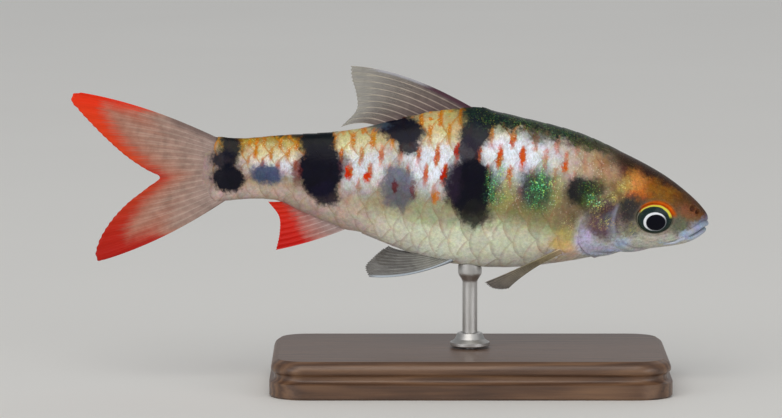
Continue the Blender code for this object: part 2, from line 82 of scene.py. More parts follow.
def nearLine(along, up, path):    # signed distance (positive behind or above), and 0 to 1 down the path
    spots = np.stack([along, up], axis=-1).reshape(-1, 1, 2)
    starts, steps = path[:-1], np.diff(path, axis=0)
    f = np.clip(np.sum((spots - starts) * steps, axis=2) / np.sum(steps**2, axis=1), 0, 1)
    gaps = spots - (starts + f[:, :, None] * steps)
    far = np.sum(gaps**2, axis=2)
    best = np.argmin(far, axis=1)
    pick = np.arange(len(spots))
    out = np.stack([-steps[:, 1], steps[:, 0]], axis=1)[best]
    sign = np.sign(np.sum(gaps[pick, best] * out, axis=1))
    distance = sign * np.sqrt(far[pick, best])
    return distance.reshape(np.shape(along)), ((best + f[pick, best]) / len(steps)).reshape(np.shape(along))


def inPlace(points):
    along, side, up = np.moveaxis(np.asarray(points, float), -1, 0)
    c, s = math.cos(noseDown), math.sin(noseDown)
    placed = [snoutAt[0] - along * c + up * s, snoutAt[1] + side, snoutAt[2] + along * s + up * c]
    return np.stack(placed, axis=-1)


# Meshes from grids

def sheetFaces(rows, columns, wrap=False):    # quads over a grid, with a place on a flat map for each corner
    r, c = np.meshgrid(np.arange(rows - 1), np.arange(columns if wrap else columns - 1), indexing="ij")
    corners = [(r, c), (r + 1, c), (r + 1, c + 1), (r, c + 1)]
    quads = np.stack([a * columns + b % columns for a, b in corners], axis=-1).reshape(-1, 4)
    across = columns if wrap else columns - 1
    spots = np.stack([np.stack([a / (rows - 1), b / across], axis=-1) for a, b in corners], axis=-2)
    return quads, spots.reshape(-1, 4, 2)


def gridRim(grid):    # the numbers round a grid's edge
    return np.concatenate([grid[0], grid[1:, -1], grid[-1, -2::-1], grid[-2:0:-1, 0]])


def buildMesh(name, points, groups, values=None):    # groups: (faces, map corners) of one face size each
    points = np.asarray(points, float).reshape(-1, 3)
    volume = 0.0
    for faces, _ in groups:
        a = points[faces[:, 0]]
        for k in range(1, faces.shape[1] - 1):
            volume += np.einsum("ij,ij->", a, np.cross(points[faces[:, k]], points[faces[:, k + 1]]))
    if volume < 0:
        groups = [(faces[:, ::-1], spots[:, ::-1]) for faces, spots in groups]
    mesh = bpy.data.meshes.new(name)
    mesh.vertices.add(len(points))
    mesh.vertices.foreach_set("co", (points * mm).ravel())
    corners = np.concatenate([faces.ravel() for faces, _ in groups])
    sizes = np.concatenate([np.full(len(faces), faces.shape[1]) for faces, _ in groups])
    mesh.loops.add(len(corners))
    mesh.loops.foreach_set("vertex_index", corners.astype(np.int32))
    mesh.polygons.add(len(sizes))
    mesh.polygons.foreach_set("loop_start", np.concatenate([[0], np.cumsum(sizes)[:-1]]).astype(np.int32))
    bakeMap = mesh.uv_layers.new(name="OFBake")
    bakeMap.data.foreach_set("uv", np.concatenate([spots.ravel() for _, spots in groups]).astype(np.float32))
    for key, value in (values or {}).items():
        value = np.asarray(value, np.float32)
        isVector = value.size == 3 * len(points)
        layer = mesh.attributes.new(key, "FLOAT_VECTOR" if isVector else "FLOAT", "POINT")
        layer.data.foreach_set("vector" if isVector else "value", value.ravel())
    mesh.update(calc_edges=True)
    mesh.shade_smooth()
    return mesh


def cappedRings(name, rings, hubs, values=None, capSpots=0.0, flatMap=None):    # a fan closes each end
    rings = np.asarray(rings, float)
    rows, columns = rings.shape[:2]
    last = (rows - 1) * columns
    ring = np.arange(columns)
    capSpots = np.broadcast_to(capSpots, (2, columns, 3, 2))
    groups = [sheetFaces(rows, columns, wrap=True)]
    for end, first in enumerate((0, last)):
        hub = np.full(columns, last + columns + end)
        fan = np.stack([hub, first + (ring + 1) % columns, first + ring], axis=1)
        groups.append((fan if end else fan[:, ::-1], capSpots[end]))
    if flatMap is not None:
        groups = [(faces, flatMap[faces]) for faces, _ in groups]
    return buildMesh(name, np.concatenate([rings.reshape(-1, 3), hubs]), groups, values)


def addPiece(name, mesh, material, nodes=()):
    piece = bpy.data.objects.new(name, mesh)
    bpy.context.scene.collection.objects.link(piece)
    mesh.materials.append(material)
    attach(piece, "root")
    if nodes:
        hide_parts(*nodes)
    return piece


# Shader graphs. A wire is one output of a node, and sums and products of wires become nodes.
# Tints are red, green and blue in percent.

class Wire:
    def __init__(self, socket):
        self.socket = socket

    def __add__(self, other):
        return self.maths("ADD", other)

    def __sub__(self, other):
        return self.maths("SUBTRACT", other)

    def __mul__(self, other):
        return self.maths("MULTIPLY", other)

    def __truediv__(self, other):
        return self.maths("DIVIDE", other)

    def maths(self, operation, *others):
        return addNode(self, "Math", dict(enumerate((self, *others))), operation=operation)

    def vector(self, operation, *others, output=0):
        return addNode(self, "VectorMath", dict(enumerate((self, *others))), output, operation=operation)

    def step(self, start, end, low=0.0, high=1.0):    # smooth step from low to high
        inputs = {"Value": self, "From Min": start, "From Max": end, "To Min": low, "To Max": high}
        return addNode(self, "MapRange", inputs, interpolation_type="SMOOTHSTEP")

    def other(self, output):    # another output of the same node
        return Wire(self.socket.node.outputs[output])

    def parts(self, kind="SeparateXYZ"):
        made = addNode(self, kind, {0: self})
        return [made.other(k) for k in range(3)]


def addNode(near, kind, inputs=None, output=0, **settings):    # near: the tree, or a wire in it
    tree = near.socket.id_data if isinstance(near, Wire) else near
    made = tree.nodes.new("ShaderNode" + kind)
    for key, value in settings.items():
        setattr(made, key, value)
    for key, value in (inputs or {}).items():
        if isinstance(value, Wire):
            tree.links.new(value.socket, made.inputs[key])
        else:
            made.inputs[key].default_value = value
    return Wire(made.outputs[output])


def tinted(value):
    return value if isinstance(value, Wire) else (*[part / 100 for part in value], 1.0)


def blend(amount, a, b, kind="MIX"):
    near = next(value for value in (amount, a, b) if isinstance(value, Wire))
    return addNode(near, "Mix", {0: amount, 6: tinted(a), 7: tinted(b)}, 2, data_type="RGBA", blend_type=kind)


def ramp(value, stops):    # stops: a place from 0 to 1, then a tint
    made = addNode(value, "ValToRGB", {0: value})
    band = made.socket.node.color_ramp
    while len(band.elements) < len(stops):
        band.elements.new(0.5)
    for element, (place, *tint) in zip(band.elements, stops):
        element.position = place
        element.color = tinted(tint)
    return made


def brighter(shade, value, saturation=1.0):
    return addNode(shade, "HueSaturation", {"Value": value, "Saturation": saturation, "Color": shade})


def attribute(tree, name, output="Fac"):
    return addNode(tree, "Attribute", output=output, attribute_name=name)


def noise(where, scale, detail=2.0, roughness=0.55, output="Fac"):
    inputs = {"Vector": where, "Scale": scale, "Detail": detail, "Roughness": roughness}
    return addNode(where, "TexNoise", inputs, output)


def stretched(where, scale):
    return where.vector("MULTIPLY", scale)


def strayed(where, place, scale, reach, detail=2.0, roughness=0.6):    # moved about by noise
    stray = noise(place, scale, detail, roughness, "Color").vector("SUBTRACT", (0.5, 0.5, 0.5))
    return stray.vector("MULTIPLY_ADD", (reach, reach, reach), where)


def patch(where, oval, soft):    # 1 inside an oval of the flank, 0 outside
    along, up, halfAlong, halfUp = oval
    shift = (-along / halfAlong, 0, -up / halfUp)
    gap = where.vector("MULTIPLY_ADD", (1 / halfAlong, 0, 1 / halfUp), shift)
    return gap.vector("LENGTH", output=1).step(1 + soft, 1 - soft)


def newMaterial(name, constants):    # constant values go straight on the shader
    material = bpy.data.materials.new(name)
    material.use_nodes = True
    shader = material.node_tree.nodes["Principled BSDF"]
    for key, value in constants.items():
        shader.inputs[key].default_value = value
    return material, material.node_tree, shader


def join(shader, key, wire):
    shader.id_data.links.new(wire.socket, shader.inputs[key])


def bump(shader, height, strength, distance):
    inputs = {"Height": height, "Strength": strength, "Distance": distance}
    join(shader, "Normal", addNode(height, "Bump", inputs))


# Body form: top, bottom and half width at places along it

body = {
    "length": 80.0,
    "stations": (
        (0, -0.2, -0.2, 0),
        (1, 1.5, -3.1, 1.7),
        (3.2, 3.35, -4.4, 2.75),
        (8.4, 6.5, -5.75, 4.35),
        (15, 9.2, -7.25, 5.35),
        (22.8, 11.65, -9.4, 6.15),
        (30, 12.8, -10.95, 6.2),
        (38, 13.5, -11.45, 5.8),
        (44.5, 12.4, -10.85, 5.2),
        (52, 10.1, -8.95, 4.2),
        (60, 7.9, -6.5, 3.1),
        (70, 6.2, -4.05, 2.0),
        (77, 5.05, -4.95, 1.5),
        (81, 5.2, -6.0, 1.15),
    ),
    "widestLevel": 0.52,
    "backKeel": 1.15,
    "bellyRound": 0.9,
    "headEnd": 22.0,
    "skinEnd": 81.3,
    "underScales": 0.12,
    "headColumns": 210,
    "bodyColumns": 205,
    "around": 196,
    "tailPinch": 0.7,
}


def bodyAt(along):
    table = np.array(body["stations"])
    reach = np.sqrt(np.clip(along, 0, None) / body["length"])
    stops = np.sqrt(table[:, 0] / body["length"])
    return [smoothValue(reach, stops, table[:, k]) for k in (1, 2, 3)]


def ringPoint(along, turn):    # turn 0 on the back, pi on the belly
    top, bottom, half = bodyAt(along)
    middle = bottom + body["widestLevel"] * (top - bottom)
    high = np.cos(turn) > 0
    reach = np.where(high, top - middle, middle - bottom)
    power = np.where(high, body["backKeel"], body["bellyRound"])
    half = half * (1 - body["tailPinch"] * fade(along, 77.5, 81.5))
    side = np.sign(np.sin(turn)) * np.abs(np.sin(turn)) ** power * half
    return np.stack([along + 0 * turn, side, middle + reach * np.cos(turn)], axis=-1)


def outward(along, turn):
    step = 0.02 + 0.01 * along
    back = ringPoint(along + step, turn) - ringPoint(np.maximum(along - step, 1e-4), turn)
    down = ringPoint(along, turn + 0.03) - ringPoint(along, turn - 0.03)
    way = np.cross(back, down)
    return way / np.maximum(np.linalg.norm(way, axis=-1), 1e-9)[..., None]


def sideAt(along, up):
    top, bottom, half = bodyAt(along)
    middle = bottom + body["widestLevel"] * (top - bottom)
    above = up > middle
    reach = np.maximum(np.where(above, top - middle, middle - bottom), 1e-3)
    level = np.clip(np.abs(up - middle) / reach, 0, 1)
    return half * np.sqrt(1 - level**2) ** np.where(above, body["backKeel"], body["bellyRound"])


def flankWays(along, up):    # backwards along the left flank, straight out of it and up it
    slopeBack = float(sideAt(along + 1, up) - sideAt(along - 1, up)) / 2
    slopeUp = float(sideAt(along, up + 1) - sideAt(along, up - 1)) / 2
    out = np.array([-slopeBack, 1, -slopeUp])
    back = np.array([1, slopeBack, 0])
    out, back = out / np.linalg.norm(out), back / np.linalg.norm(back)
    return back, out, np.cross(back, out)


# Soft swellings that skin and scales share: fin sheaths, shoulder and the pelvic fins' root

swellings = {
    "dorsalSheath": (36.6, 54.0, 0.55),
    "analSheath": (56.2, 67.0, 0.5),
    "pectoralRoot": (22.3, -6.8, 1.8, 1.0, 0.60),
    "pelvicRoot": (41.0, -9.6, 2.6, 1.2, 0.3),
}


def swelling(points):
    along, side, up = np.moveaxis(points, -1, 0)
    top, bottom, _ = bodyAt(along)
    total = np.zeros(np.shape(along))
    for key, edge in (("dorsalSheath", top), ("analSheath", bottom)):
        start, end, height = swellings[key]
        span = fade(along, start - 1.2, start + 1.5) * fade(along, end + 1.5, end - 1.5)
        total += height * span * hump(side, 0, 0.8) * hump(up, edge, 1.3)
    for key in ("pectoralRoot", "pelvicRoot"):
        middle, level, length, height, rise = swellings[key]
        total += rise * hump(along, middle, length) * hump(up, level, height)
    return total


# Head relief: lips, nostrils, eye sockets, bony plates and the gill opening

head = {
    "mouthLine": ((-1.0, -1.25), (0.5, -1.6), (1.5, -2.35), (2.6, -3.1), (3.4, -3.55)),
    "gillEdge": (
        (15.5, 3.3), (15.3, 2.9), (17, 1.8), (18.8, 0.6), (20, -0.7), (20.5, -2.2), (20.7, -4.1),
        (20.5, -5.7), (19.4, -7.1), (17.4, -8.2), (14.6, -8.9), (11.5, -8.4),
    ),
    "napeEdge": ((14.6, 14), (14.9, 10), (15.0, 6), (15.3, 2.9)),
    "cheekEdge": (
        (14.4, 1.6), (14.9, 0.2), (15.0, -2.3), (14.3, -4.2), (13.0, -5.6), (11.0, -6.1), (8.6, -5.7),
    ),
    "coverSeam": ((20.2, -2.6), (18.7, -3.7), (17.0, -4.5), (15.0, -5.2)),
    "lowerSeam": ((18.6, -6.9), (16.0, -7.0), (13.2, -6.8), (10.5, -6.6), (7.6, -6.0)),
    "eyeBones": (
        (12.8, 0.6), (12.4, -1.6), (11.2, -3.7), (9.2, -4.6), (7.0, -4.3), (5.0, -3.2), (4.3, -1.6),
        (4.8, 0.6),
    ),
    "nostrils": ((2.0, 0.95, 0.34), (2.75, 1.4, 0.42)),
    "lipFolds": (
        (-0.42, 0, 0.13), (0.26, 0.5, 0.32), (0.24, -0.42, 0.3), (-0.12, 1.05, 0.14), (-0.1, -0.95, 0.14),
    ),
    "coverRise": 0.24,
    "coverStep": 0.24,
    "cheekRise": 0.17,
    "cheekStep": 0.10,
    "seamDepths": (("coverSeam", 0.11), ("lowerSeam", 0.15), ("eyeBones", 0.05)),
    "gillFold": 0.10,
    "socketFolds": ((-0.16, 1.0, 0.035), (0.16, 1.09, 0.07), (0.10, 1.28, 0.16)),
    "eyeCentre": (8.75, -0.64),
    "eyeHalf": (3.0, 2.46),
}


def eyeSeat():    # the left eye's centre
    along, up = head["eyeCentre"]
    return np.array([along, float(sideAt(along, up)), up])


def eyeReach(along, side, up):    # 1 on the eye's edge
    centre = eyeSeat()
    back, _, rise = flankWays(*head["eyeCentre"])
    gap = np.stack([along, np.abs(side), up], axis=-1) - centre
    x = gap @ back / head["eyeHalf"][0]
    y = gap @ rise / head["eyeHalf"][1]
    return np.hypot(x, y), x, y


def headRelief(along, side, up):
    masks = {}
    gap, run = nearLine(along, up, smoothPath(head["mouthLine"], 30))
    lipEnd = fade(run, 1.0, 0.72)
    height = sum(rise * hump(gap, middle, wide) * lipEnd for rise, middle, wide in head["lipFolds"])
    masks["lip"] = fade(gap, 1.3, 0.5) * fade(gap, -1.6, -0.5) * fade(run, 1.0, 0.6)
    # Grooves, pits and the mouth line gather into a mask of painted shade, darkened in the colour.
    creaseShades = [hump(gap, 0, 0.14) * lipEnd]

    gap, run = nearLine(along, up, smoothPath(head["gillEdge"], 80))
    span = fade(run, 0.0, 0.12)
    height += head["coverRise"] * fade(gap, -3.2, -0.35) * fade(gap, 0.22, -0.22) * span
    height -= head["coverStep"] * fade(gap, -0.14, 0.16) * fade(gap, 1.5, 0.2) * span
    creaseShades.append(0.30 * hump(gap, 0.18, 0.22) * span)
    masks["gillRim"] = fade(gap, -1.5, -0.7) * fade(gap, 0.25, -0.2) * span
    ahead = fade(gap, 0.2, -0.2)

    gap, run = nearLine(along, up, smoothPath(head["cheekEdge"], 50))
    ends = fade(run, 0.0, 0.12) * fade(run, 1.0, 0.85)
    height += head["cheekRise"] * fade(-gap, -1.5, -0.1) * fade(-gap, 0.16, -0.06) * ends
    height -= head["cheekStep"] * hump(-gap, 0.26, 0.16) * ends
    masks["cheekRim"] = hump(-gap, -0.28, 0.36) * ends
    creaseShades.append(0.45 * hump(-gap, 0.22, 0.14) * ends)
    for key, depth in head["seamDepths"]:
        gap, run = nearLine(along, up, smoothPath(head[key], 40))
        ends = fade(run, 0.0, 0.15) * fade(run, 1.0, 0.85)
        height -= depth * hump(gap, 0, 0.14) * ends
        creaseShades.append(2.6 * depth * hump(gap, 0, 0.16) * ends)
        if key == "lowerSeam":    # gill rays show as folds below the seam
            folds = 0.5 - 0.5 * np.cos(np.clip(gap, 0, 2.1) * 2 * math.pi / 0.7)
            height += head["gillFold"] * folds * ends * ahead * fade(along, 7.5, 10.5)
    for middle, level, radius in head["nostrils"]:
        far = np.hypot(along - middle, up - level) / radius
        height += -0.5 * np.exp(-far**4) + 0.13 * hump(far, 1.35, 0.35)
        creaseShades.append(0.7 * np.exp(-far**4))
    height += 0.18 * hump(along, 2.34, 0.16) * hump(up, 1.2, 0.4)    # the flap between the nostrils
    masks["crease"] = np.maximum.reduce(creaseShades)
    far, x, y = eyeReach(along, side, up)
    height -= 0.9 * fade(far, 1.0, 0.85)
    height += sum(rise * hump(far, middle, wide) for rise, middle, wide in head["socketFolds"])
    masks["eyeRim"] = hump(far, 1.07, 0.075)
    masks["brow"] = fade(far, 0.97, 1.02) * fade(far, 1.24 - 0.07 * x, 1.04 - 0.02 * x)
    masks["brow"] *= fade(y - 0.22 * x, 0.32, 0.75)
    return height, masks


def behindEdges(along, up):    # distances behind the nape's edge and behind the gill's
    edges = (("napeEdge", 30), ("gillEdge", 80))
    return [nearLine(along, up, smoothPath(head[key], count))[0] for key, count in edges]


def inScales(along, up):    # how far a place lies behind the head's edge, 0 to 1
    nape, gill = behindEdges(along, up)
    return np.where(up > 3.1, fade(nape, -0.6, 1.0), fade(gill, 0.1, 1.0) * fade(along, 14, 18))


def pastHead(along, up):    # the same for colours, with a softer edge on the nape
    nape, gill = behindEdges(along, up)
    low = fade(gill, 0.0, 1.4) * fade(along, 14, 18)
    return low + (fade(nape, -1.2, 4.5) - low) * fade(up, 2.6, 3.8)


def levelAt(along, up):
    top, bottom, _ = bodyAt(along)
    return np.clip((up - bottom) / np.maximum(top - bottom, 1e-3), 0, 1)


# Colours of the living fish, with a painted highlight and painted glints among them, laid on by place
# on the flank and never by view. A wash is an oval: along, up, its two half sizes, red, green and blue
# in percent, strength, softness. A zone is the oval alone. Grains are a zone's name, sparseness,
# strength, dimness and tints.

paint = {
    "frontRamp": (
        (0, 72, 71, 66), (0.12, 72, 72, 60), (0.27, 47, 47, 29),
        (0.42, 28, 26.5, 13), (0.52, 29, 24.5, 15), (0.62, 40, 33, 26),
        (0.8, 40, 33, 27), (0.88, 14, 12, 7), (0.94, 3, 3.6, 2.2),
        (1, 1.4, 2, 1.5),
    ),
    "rearRamp": (
        (0, 42, 34, 29), (0.16, 54, 42, 36), (0.36, 36, 27.5, 18.5),
        (0.52, 42, 31.5, 26), (0.66, 47, 36, 29), (0.8, 43, 31, 12),
        (0.91, 32, 20, 4), (0.97, 8, 4.8, 1.8), (1, 3, 2.2, 1.2),
    ),
    "headRamp": (
        (0, 58, 59, 56), (0.14, 58, 58, 52), (0.34, 36, 33, 25),
        (0.54, 17, 12, 7), (0.7, 20, 9.5, 3), (0.84, 10, 4.2, 1.4),
        (0.9, 3.5, 1.5, 0.8), (1, 1.6, 0.9, 0.6),
    ),
    "washes": (
        (28.5, -1.6, 9, 3, 22, 20, 8.5, 0.8, 0.6), (38, -6.6, 13, 3.4, 74, 77, 60, 0.75, 0.6),
        (23, -7.4, 3.6, 2, 62, 44, 28, 0.6, 0.6), (30.5, 8, 9, 3, 42, 34, 29, 0.8, 0.5),
        (21.5, 7.4, 5.4, 2.8, 46, 35, 25, 0.8, 0.5), (45.5, 5, 6, 4.8, 43, 33, 26, 0.8, 0.5),
        (56.5, 3.6, 5, 4.2, 42, 32, 26, 0.8, 0.5), (69.5, 2.2, 6, 1.8, 44, 30, 26, 0.7, 0.5),
        (71, 4.7, 5.4, 1.4, 38, 22, 3.5, 0.85, 0.4), (57.5, 7.2, 3.2, 2.6, 40, 32, 12, 0.85, 0.4),
        (44, 10.8, 4.2, 2.6, 50, 38, 17, 0.9, 0.4), (22.4, -0.8, 2.7, 3.4, 19, 13.8, 8.5, 0.85, 0.6),
        (42.5, -3.6, 7.5, 1.7, 28, 28, 16, 0.6, 0.6), (16.9, 5, 2.2, 1.8, 30, 20, 11, 0.7, 0.6),
        (28.4, 2.6, 2.9, 3.6, 5, 6, 4.5, 0.85, 0.45), (30.9, 3, 1.3, 2.8, 10, 7.5, 7.5, 0.6, 0.5),
        (32.4, 2.6, 1.1, 3.2, 30, 29, 11, 0.55, 0.5), (34.6, 2.8, 1.2, 3.4, 3, 8, 4.2, 0.9, 0.7),
        (24.9, 3, 1.4, 3, 24, 25, 8, 0.6, 0.5), (80.9, -0.3, 1.9, 6.5, 34, 25, 21.5, 0.9, 0.6),
        (22.6, -5.1, 2.3, 1.5, 47, 35, 13, 0.75, 0.6), (20.9, -1.7, 1.3, 1.5, 11, 8, 4, 0.6, 0.6),
        (21.9, -6.9, 2.2, 1, 70, 50, 40, 0.6, 0.6), (23.4, -6.3, 1.8, 0.8, 62, 42, 13, 0.6, 0.6),
        # The pale bluish wash at (24.1, -7.8), on the belly behind the pectoral fin's root, is a painted
        # highlight.
        (24.1, -7.8, 1.6, 0.5, 86, 90, 98, 0.7, 0.5), (16.4, 6, 1.3, 1.1, 46, 30, 20, 0.7, 0.6),
        (18.3, 7.5, 1.5, 1.2, 37, 18, 7.5, 0.6, 0.6),
    ),
    "headWashes": (
        (2.6, 1.8, 3.2, 1.9, 12, 5.5, 3, 0.6, 0.5), (3.7, 0.6, 1.5, 1.3, 25, 10, 5.5, 0.55, 0.5),
        (4.6, -1.5, 1.7, 1.4, 10.5, 12.5, 9, 0.8, 0.5), (8, 4.4, 3.6, 1.6, 30, 12.5, 3.5, 0.7, 0.5),
        (8.3, -4.4, 4.8, 1.2, 64, 60, 50, 0.75, 0.6), (12.3, 4.6, 1.6, 2, 68, 29, 11, 0.88, 0.75),
        (11.6, 3, 1.8, 0.9, 52, 13, 5, 0.6, 0.5), (15.4, 7.3, 1.5, 1.8, 17, 7, 6, 0.6, 0.5),
        (13.2, 9.1, 4.8, 1.8, 3.2, 1.5, 0.9, 0.94, 0.45), (8.2, 7.1, 3.6, 1.3, 2.8, 1.2, 0.8, 0.94, 0.45),
        (5.9, 5.4, 2.6, 1.1, 2.2, 1, 0.7, 0.92, 0.5), (4, 4.9, 2.4, 0.95, 3.6, 1.6, 1, 0.88, 0.45),
        (14.2, 4.4, 1.2, 1.2, 44, 29, 10, 0.75, 0.5), (16.4, 6, 1.3, 1.1, 46, 30, 20, 0.7, 0.6),
        (16.4, 2.7, 2.2, 0.9, 20, 14, 5, 0.7, 0.5), (12.9, 0.4, 1.9, 2.4, 2.4, 2.4, 2.8, 0.94, 0.35),
        (11.6, 2.2, 1.3, 0.8, 5, 3.6, 2.8, 0.6, 0.5), (12.7, -2.6, 1.4, 1.5, 14, 13, 10.5, 0.75, 0.5),
        (16.9, 0.6, 2, 1, 3.2, 1.4, 2.4, 0.9, 0.4), (17, -2, 2.8, 2.8, 11.5, 6.4, 9, 0.93, 0.4),
        (16.2, -0.9, 1.1, 0.9, 7.5, 11.5, 14, 0.65, 0.5), (15.6, -3.1, 0.8, 1.2, 22, 22, 30, 0.6, 0.5),
        (20.3, -3.4, 0.6, 1.6, 36, 32, 42, 0.7, 0.6), (18.6, 0.5, 2.4, 1.3, 6, 3.4, 3, 0.88, 0.5),
        (19.5, -5.3, 1.5, 1.7, 66, 62, 84, 0.88, 0.6), (16.8, -6.2, 2.6, 0.8, 50, 50, 66, 0.75, 0.5),
        (16.7, -7.1, 2.2, 0.7, 48, 53, 62, 0.7, 0.6), (13.7, -5, 1.4, 0.9, 54, 64, 82, 0.85, 0.6),
        (14.5, -6.5, 1.4, 0.4, 62, 70, 95, 0.8, 0.6), (19.4, -7.2, 2.4, 0.4, 62, 68, 85, 0.8, 0.6),
        (6.3, -4.5, 1.6, 0.28, 48, 55, 68, 0.8, 0.6), (3.2, -3, 1.3, 0.8, 42, 52, 72, 0.85, 0.6),
        (1.1, -1.6, 1.4, 1.1, 28, 33, 46, 0.8, 0.6), (0.4, -0.2, 0.7, 0.7, 17, 19, 28, 0.7, 0.6),
    ),
    "blotches": (
        (32, 13.6, 6.5, 2.2, 1.8, 3.4, 2.4, 0.94, 0.35), (25, 12.7, 5.5, 2, 2.2, 4, 2.4, 0.94, 0.35),
        (18.4, 10.7, 5, 1.6, 3.4, 3.6, 1.8, 0.92, 0.45), (28.4, 10.9, 2.2, 1.2, 7.5, 6.8, 4.5, 0.75, 0.5),
        (29.3, 2.9, 1.2, 2.5, 3.4, 3.6, 4.2, 0.92, 0.5), (27.4, 2.6, 1.6, 3, 2, 4.8, 2.8, 0.9, 0.7),
        (37, 12.9, 3.6, 2, 0.6, 1.4, 1.5, 0.97, 0.25), (38.6, 10, 2.5, 2.6, 0.5, 0.8, 1.6, 0.97, 0.25),
        (39.4, 7.2, 1.6, 2.6, 1.2, 0.9, 2.2, 0.93, 0.3),
        (38.5, 1.8, 3.6, 4.8, 0.12, 0.12, 0.7, 0.995, 0.18), (41.4, 1.8, 1.3, 3.4, 2, 1.2, 2.6, 0.85, 0.45),
        (37.4, -2.6, 2.7, 2.2, 1, 1, 1.1, 0.92, 0.35), (50.2, 9.4, 3.7, 2, 0.15, 0.2, 0.9, 0.99, 0.22),
        (49, 7.4, 1.9, 1.7, 0.5, 0.5, 1.4, 0.95, 0.3), (54.2, 9.6, 1.6, 0.8, 5, 7, 10, 0.7, 0.5),
        (63.6, 6.4, 3, 2.6, 0.15, 0.4, 0.7, 0.99, 0.22), (62.6, 1.5, 3.6, 4.3, 0.1, 0.1, 0.7, 0.995, 0.18),
        (58.9, 2.9, 0.9, 2, 7, 2.5, 3.5, 0.75, 0.5), (66.4, 1.2, 0.8, 2.4, 13, 2.2, 1.8, 0.75, 0.5),
        (61.4, -2.2, 2.2, 1.9, 0.5, 0.4, 1.4, 0.94, 0.3), (71.1, 0.1, 2.7, 1.6, 3, 5.2, 12.5, 0.92, 0.4),
        (77.2, 3.8, 1.7, 2, 0.4, 0.6, 1, 0.97, 0.3), (78, 1.6, 2.2, 1.7, 0.4, 0.4, 1.2, 0.97, 0.35),
        (77.2, -1.3, 2.7, 2.3, 0.15, 0.2, 0.8, 0.99, 0.22), (49.9, 0.3, 2.8, 3.6, 7.5, 8, 12.5, 0.8, 0.3),
        (49.9, 2.3, 2.2, 0.9, 16, 20, 26, 0.45, 0.5), (21.2, 2.9, 2.1, 2.1, 0.6, 0.8, 1.1, 0.96, 0.4),
        (18.9, 3.4, 1.9, 1.6, 1.2, 2, 1, 0.93, 0.5), (19.6, 1.2, 1.7, 1.3, 4.5, 6, 2, 0.85, 0.6),
    ),
    "flecks": (
        (50.6, 0.6, 0.45, 1.3, 10, 1, 1.2, 0.8, 0.5), (47.7, 0.1, 0.4, 1.5, 12, 2, 2, 0.7, 0.5),
        (58.3, 1.9, 0.42, 1.1, 60, 3, 0.6, 1, 0.4), (55, 1.3, 0.5, 0.9, 62, 5, 1, 0.95, 0.4),
        (43, 3, 0.5, 1.5, 44, 2, 0.6, 1, 0.4), (43.9, -0.6, 0.55, 0.9, 55, 17, 3.5, 0.8, 0.5),
        (41.2, 7.3, 0.45, 1.3, 34, 1.8, 1, 0.9, 0.4), (34.4, 6.8, 0.42, 1.6, 56, 6, 1, 0.9, 0.4),
        (30.7, 7.2, 0.4, 1.5, 58, 8, 1.4, 0.9, 0.4), (23.9, 6.3, 0.4, 0.9, 56, 10, 2, 0.8, 0.5),
    ),
    "pearlZones": (
        (32.2, 7.8, 6.7, 3.7), (45.3, 5.4, 5.2, 4.8), (56.8, 3.9, 4.6, 4.2), (69.8, 2.4, 4.6, 2.2),
    ),
    "barZones": ((32, 7.6, 9.8, 4.6), (45.5, 7.2, 7, 6.2), (57.2, 5, 5, 5), (70.2, 3.9, 5, 2.8)),
    "glitterZones": (
        (34.6, 2.8, 1.3, 3.6), (27.4, 2.9, 1.9, 3.2), (18.8, 1.4, 1.5, 1),
    ),
    "goldZones": (
        (16.8, 2.4, 2.4, 1), (18.2, 0.6, 2.2, 1), (22, -3.6, 1.6, 2), (19, 10.2, 3.6, 1.2),
        (32.6, 3, 1.3, 3), (25.2, 3, 1.5, 3), (71, 4.6, 5, 1.4), (56.8, 5.4, 4, 4), (45, 9.4, 4.2, 4),
        (49.8, 3.2, 2.8, 1.1),
    ),
    # Green, gold and head grains: the fish's own iridescent colour, with painted glints for their bright
    # dots.
    "greenGrains": (
        ("ridgeGrains", 0.56, 0.60, 0.55, (
            (0, 46, 46, 9), (0.35, 16, 36, 9), (0.7, 5, 24, 12), (1, 36, 34, 10),
        )),
        ("glitterZones", 0.49, 0.95, 0.66, (
            (0, 86, 94, 24), (0.35, 38, 92, 28), (0.7, 14, 72, 34), (1, 62, 95, 72),
        )),
    ),
    "goldGrains": (
        ("goldZones", 0.53, 0.55, 0.55, ((0, 74, 60, 20), (0.5, 80, 76, 42), (1, 46, 52, 14))),
    ),
    "headGrains": (
        ("headZones", 0.52, 0.80, 0.45, ((0, 86, 56, 14), (0.5, 84, 74, 36), (1, 42, 46, 12))),
    ),
    "headZones": (
        (14, 4.4, 1.4, 1.2), (16.9, -1.9, 2, 1), (16.8, 2.4, 2.4, 1), (18.2, 0.6, 1.8, 0.9),
        (12.6, -2.8, 1.2, 1),
    ),
    "ridgeZones": ((31, 13.2, 8.5, 2.2), (23, 12.2, 6.5, 2)),
    "ridgeGrains": ((30, 13, 8, 2.4), (22, 11.6, 5.5, 1.8), (18.9, 3.3, 2, 1.6)),
    "pearl": (80, 85, 95),
    "bar": (58, 10, 2),
    "deepBar": (36, 2.4, 0.8),
    "goldPearl": (80, 74, 46),
    "goldBar": (66, 24, 5),
    "net": (30, 17, 10),
    "goldNet": (50, 19, 3),
    "ridge": (0.6, 1, 1),
    "freckle": (3, 1.8, 1),
    "headFleck": (42, 30, 16),
    "paleGlint": (80, 76, 66),
    "raggedEdges": ((0.55, 1.5), (1.9, 1.3), (5.5, 0.5)),
    "pearlShape": (0.41, 0.86, 0.50),
    "barShape": (0.13, 0.60, 0.70),
    "grainScale": 4.2,
    # The last relief tint, near black, is painted shade in the head's grooves, pits and mouth line.
    "reliefTints": (
        ("lip", 0.50, (38, 44, 58)), ("gillRim", 0.15, (22, 17, 18)), ("cheekRim", 0.50, (32, 34, 42)),
        ("eyeRim", 0.55, (16, 14, 10)), ("brow", 0.95, (66, 11.5, 1.2)), ("crease", 0.65, (4, 2.2, 1.8)),
    ),
}


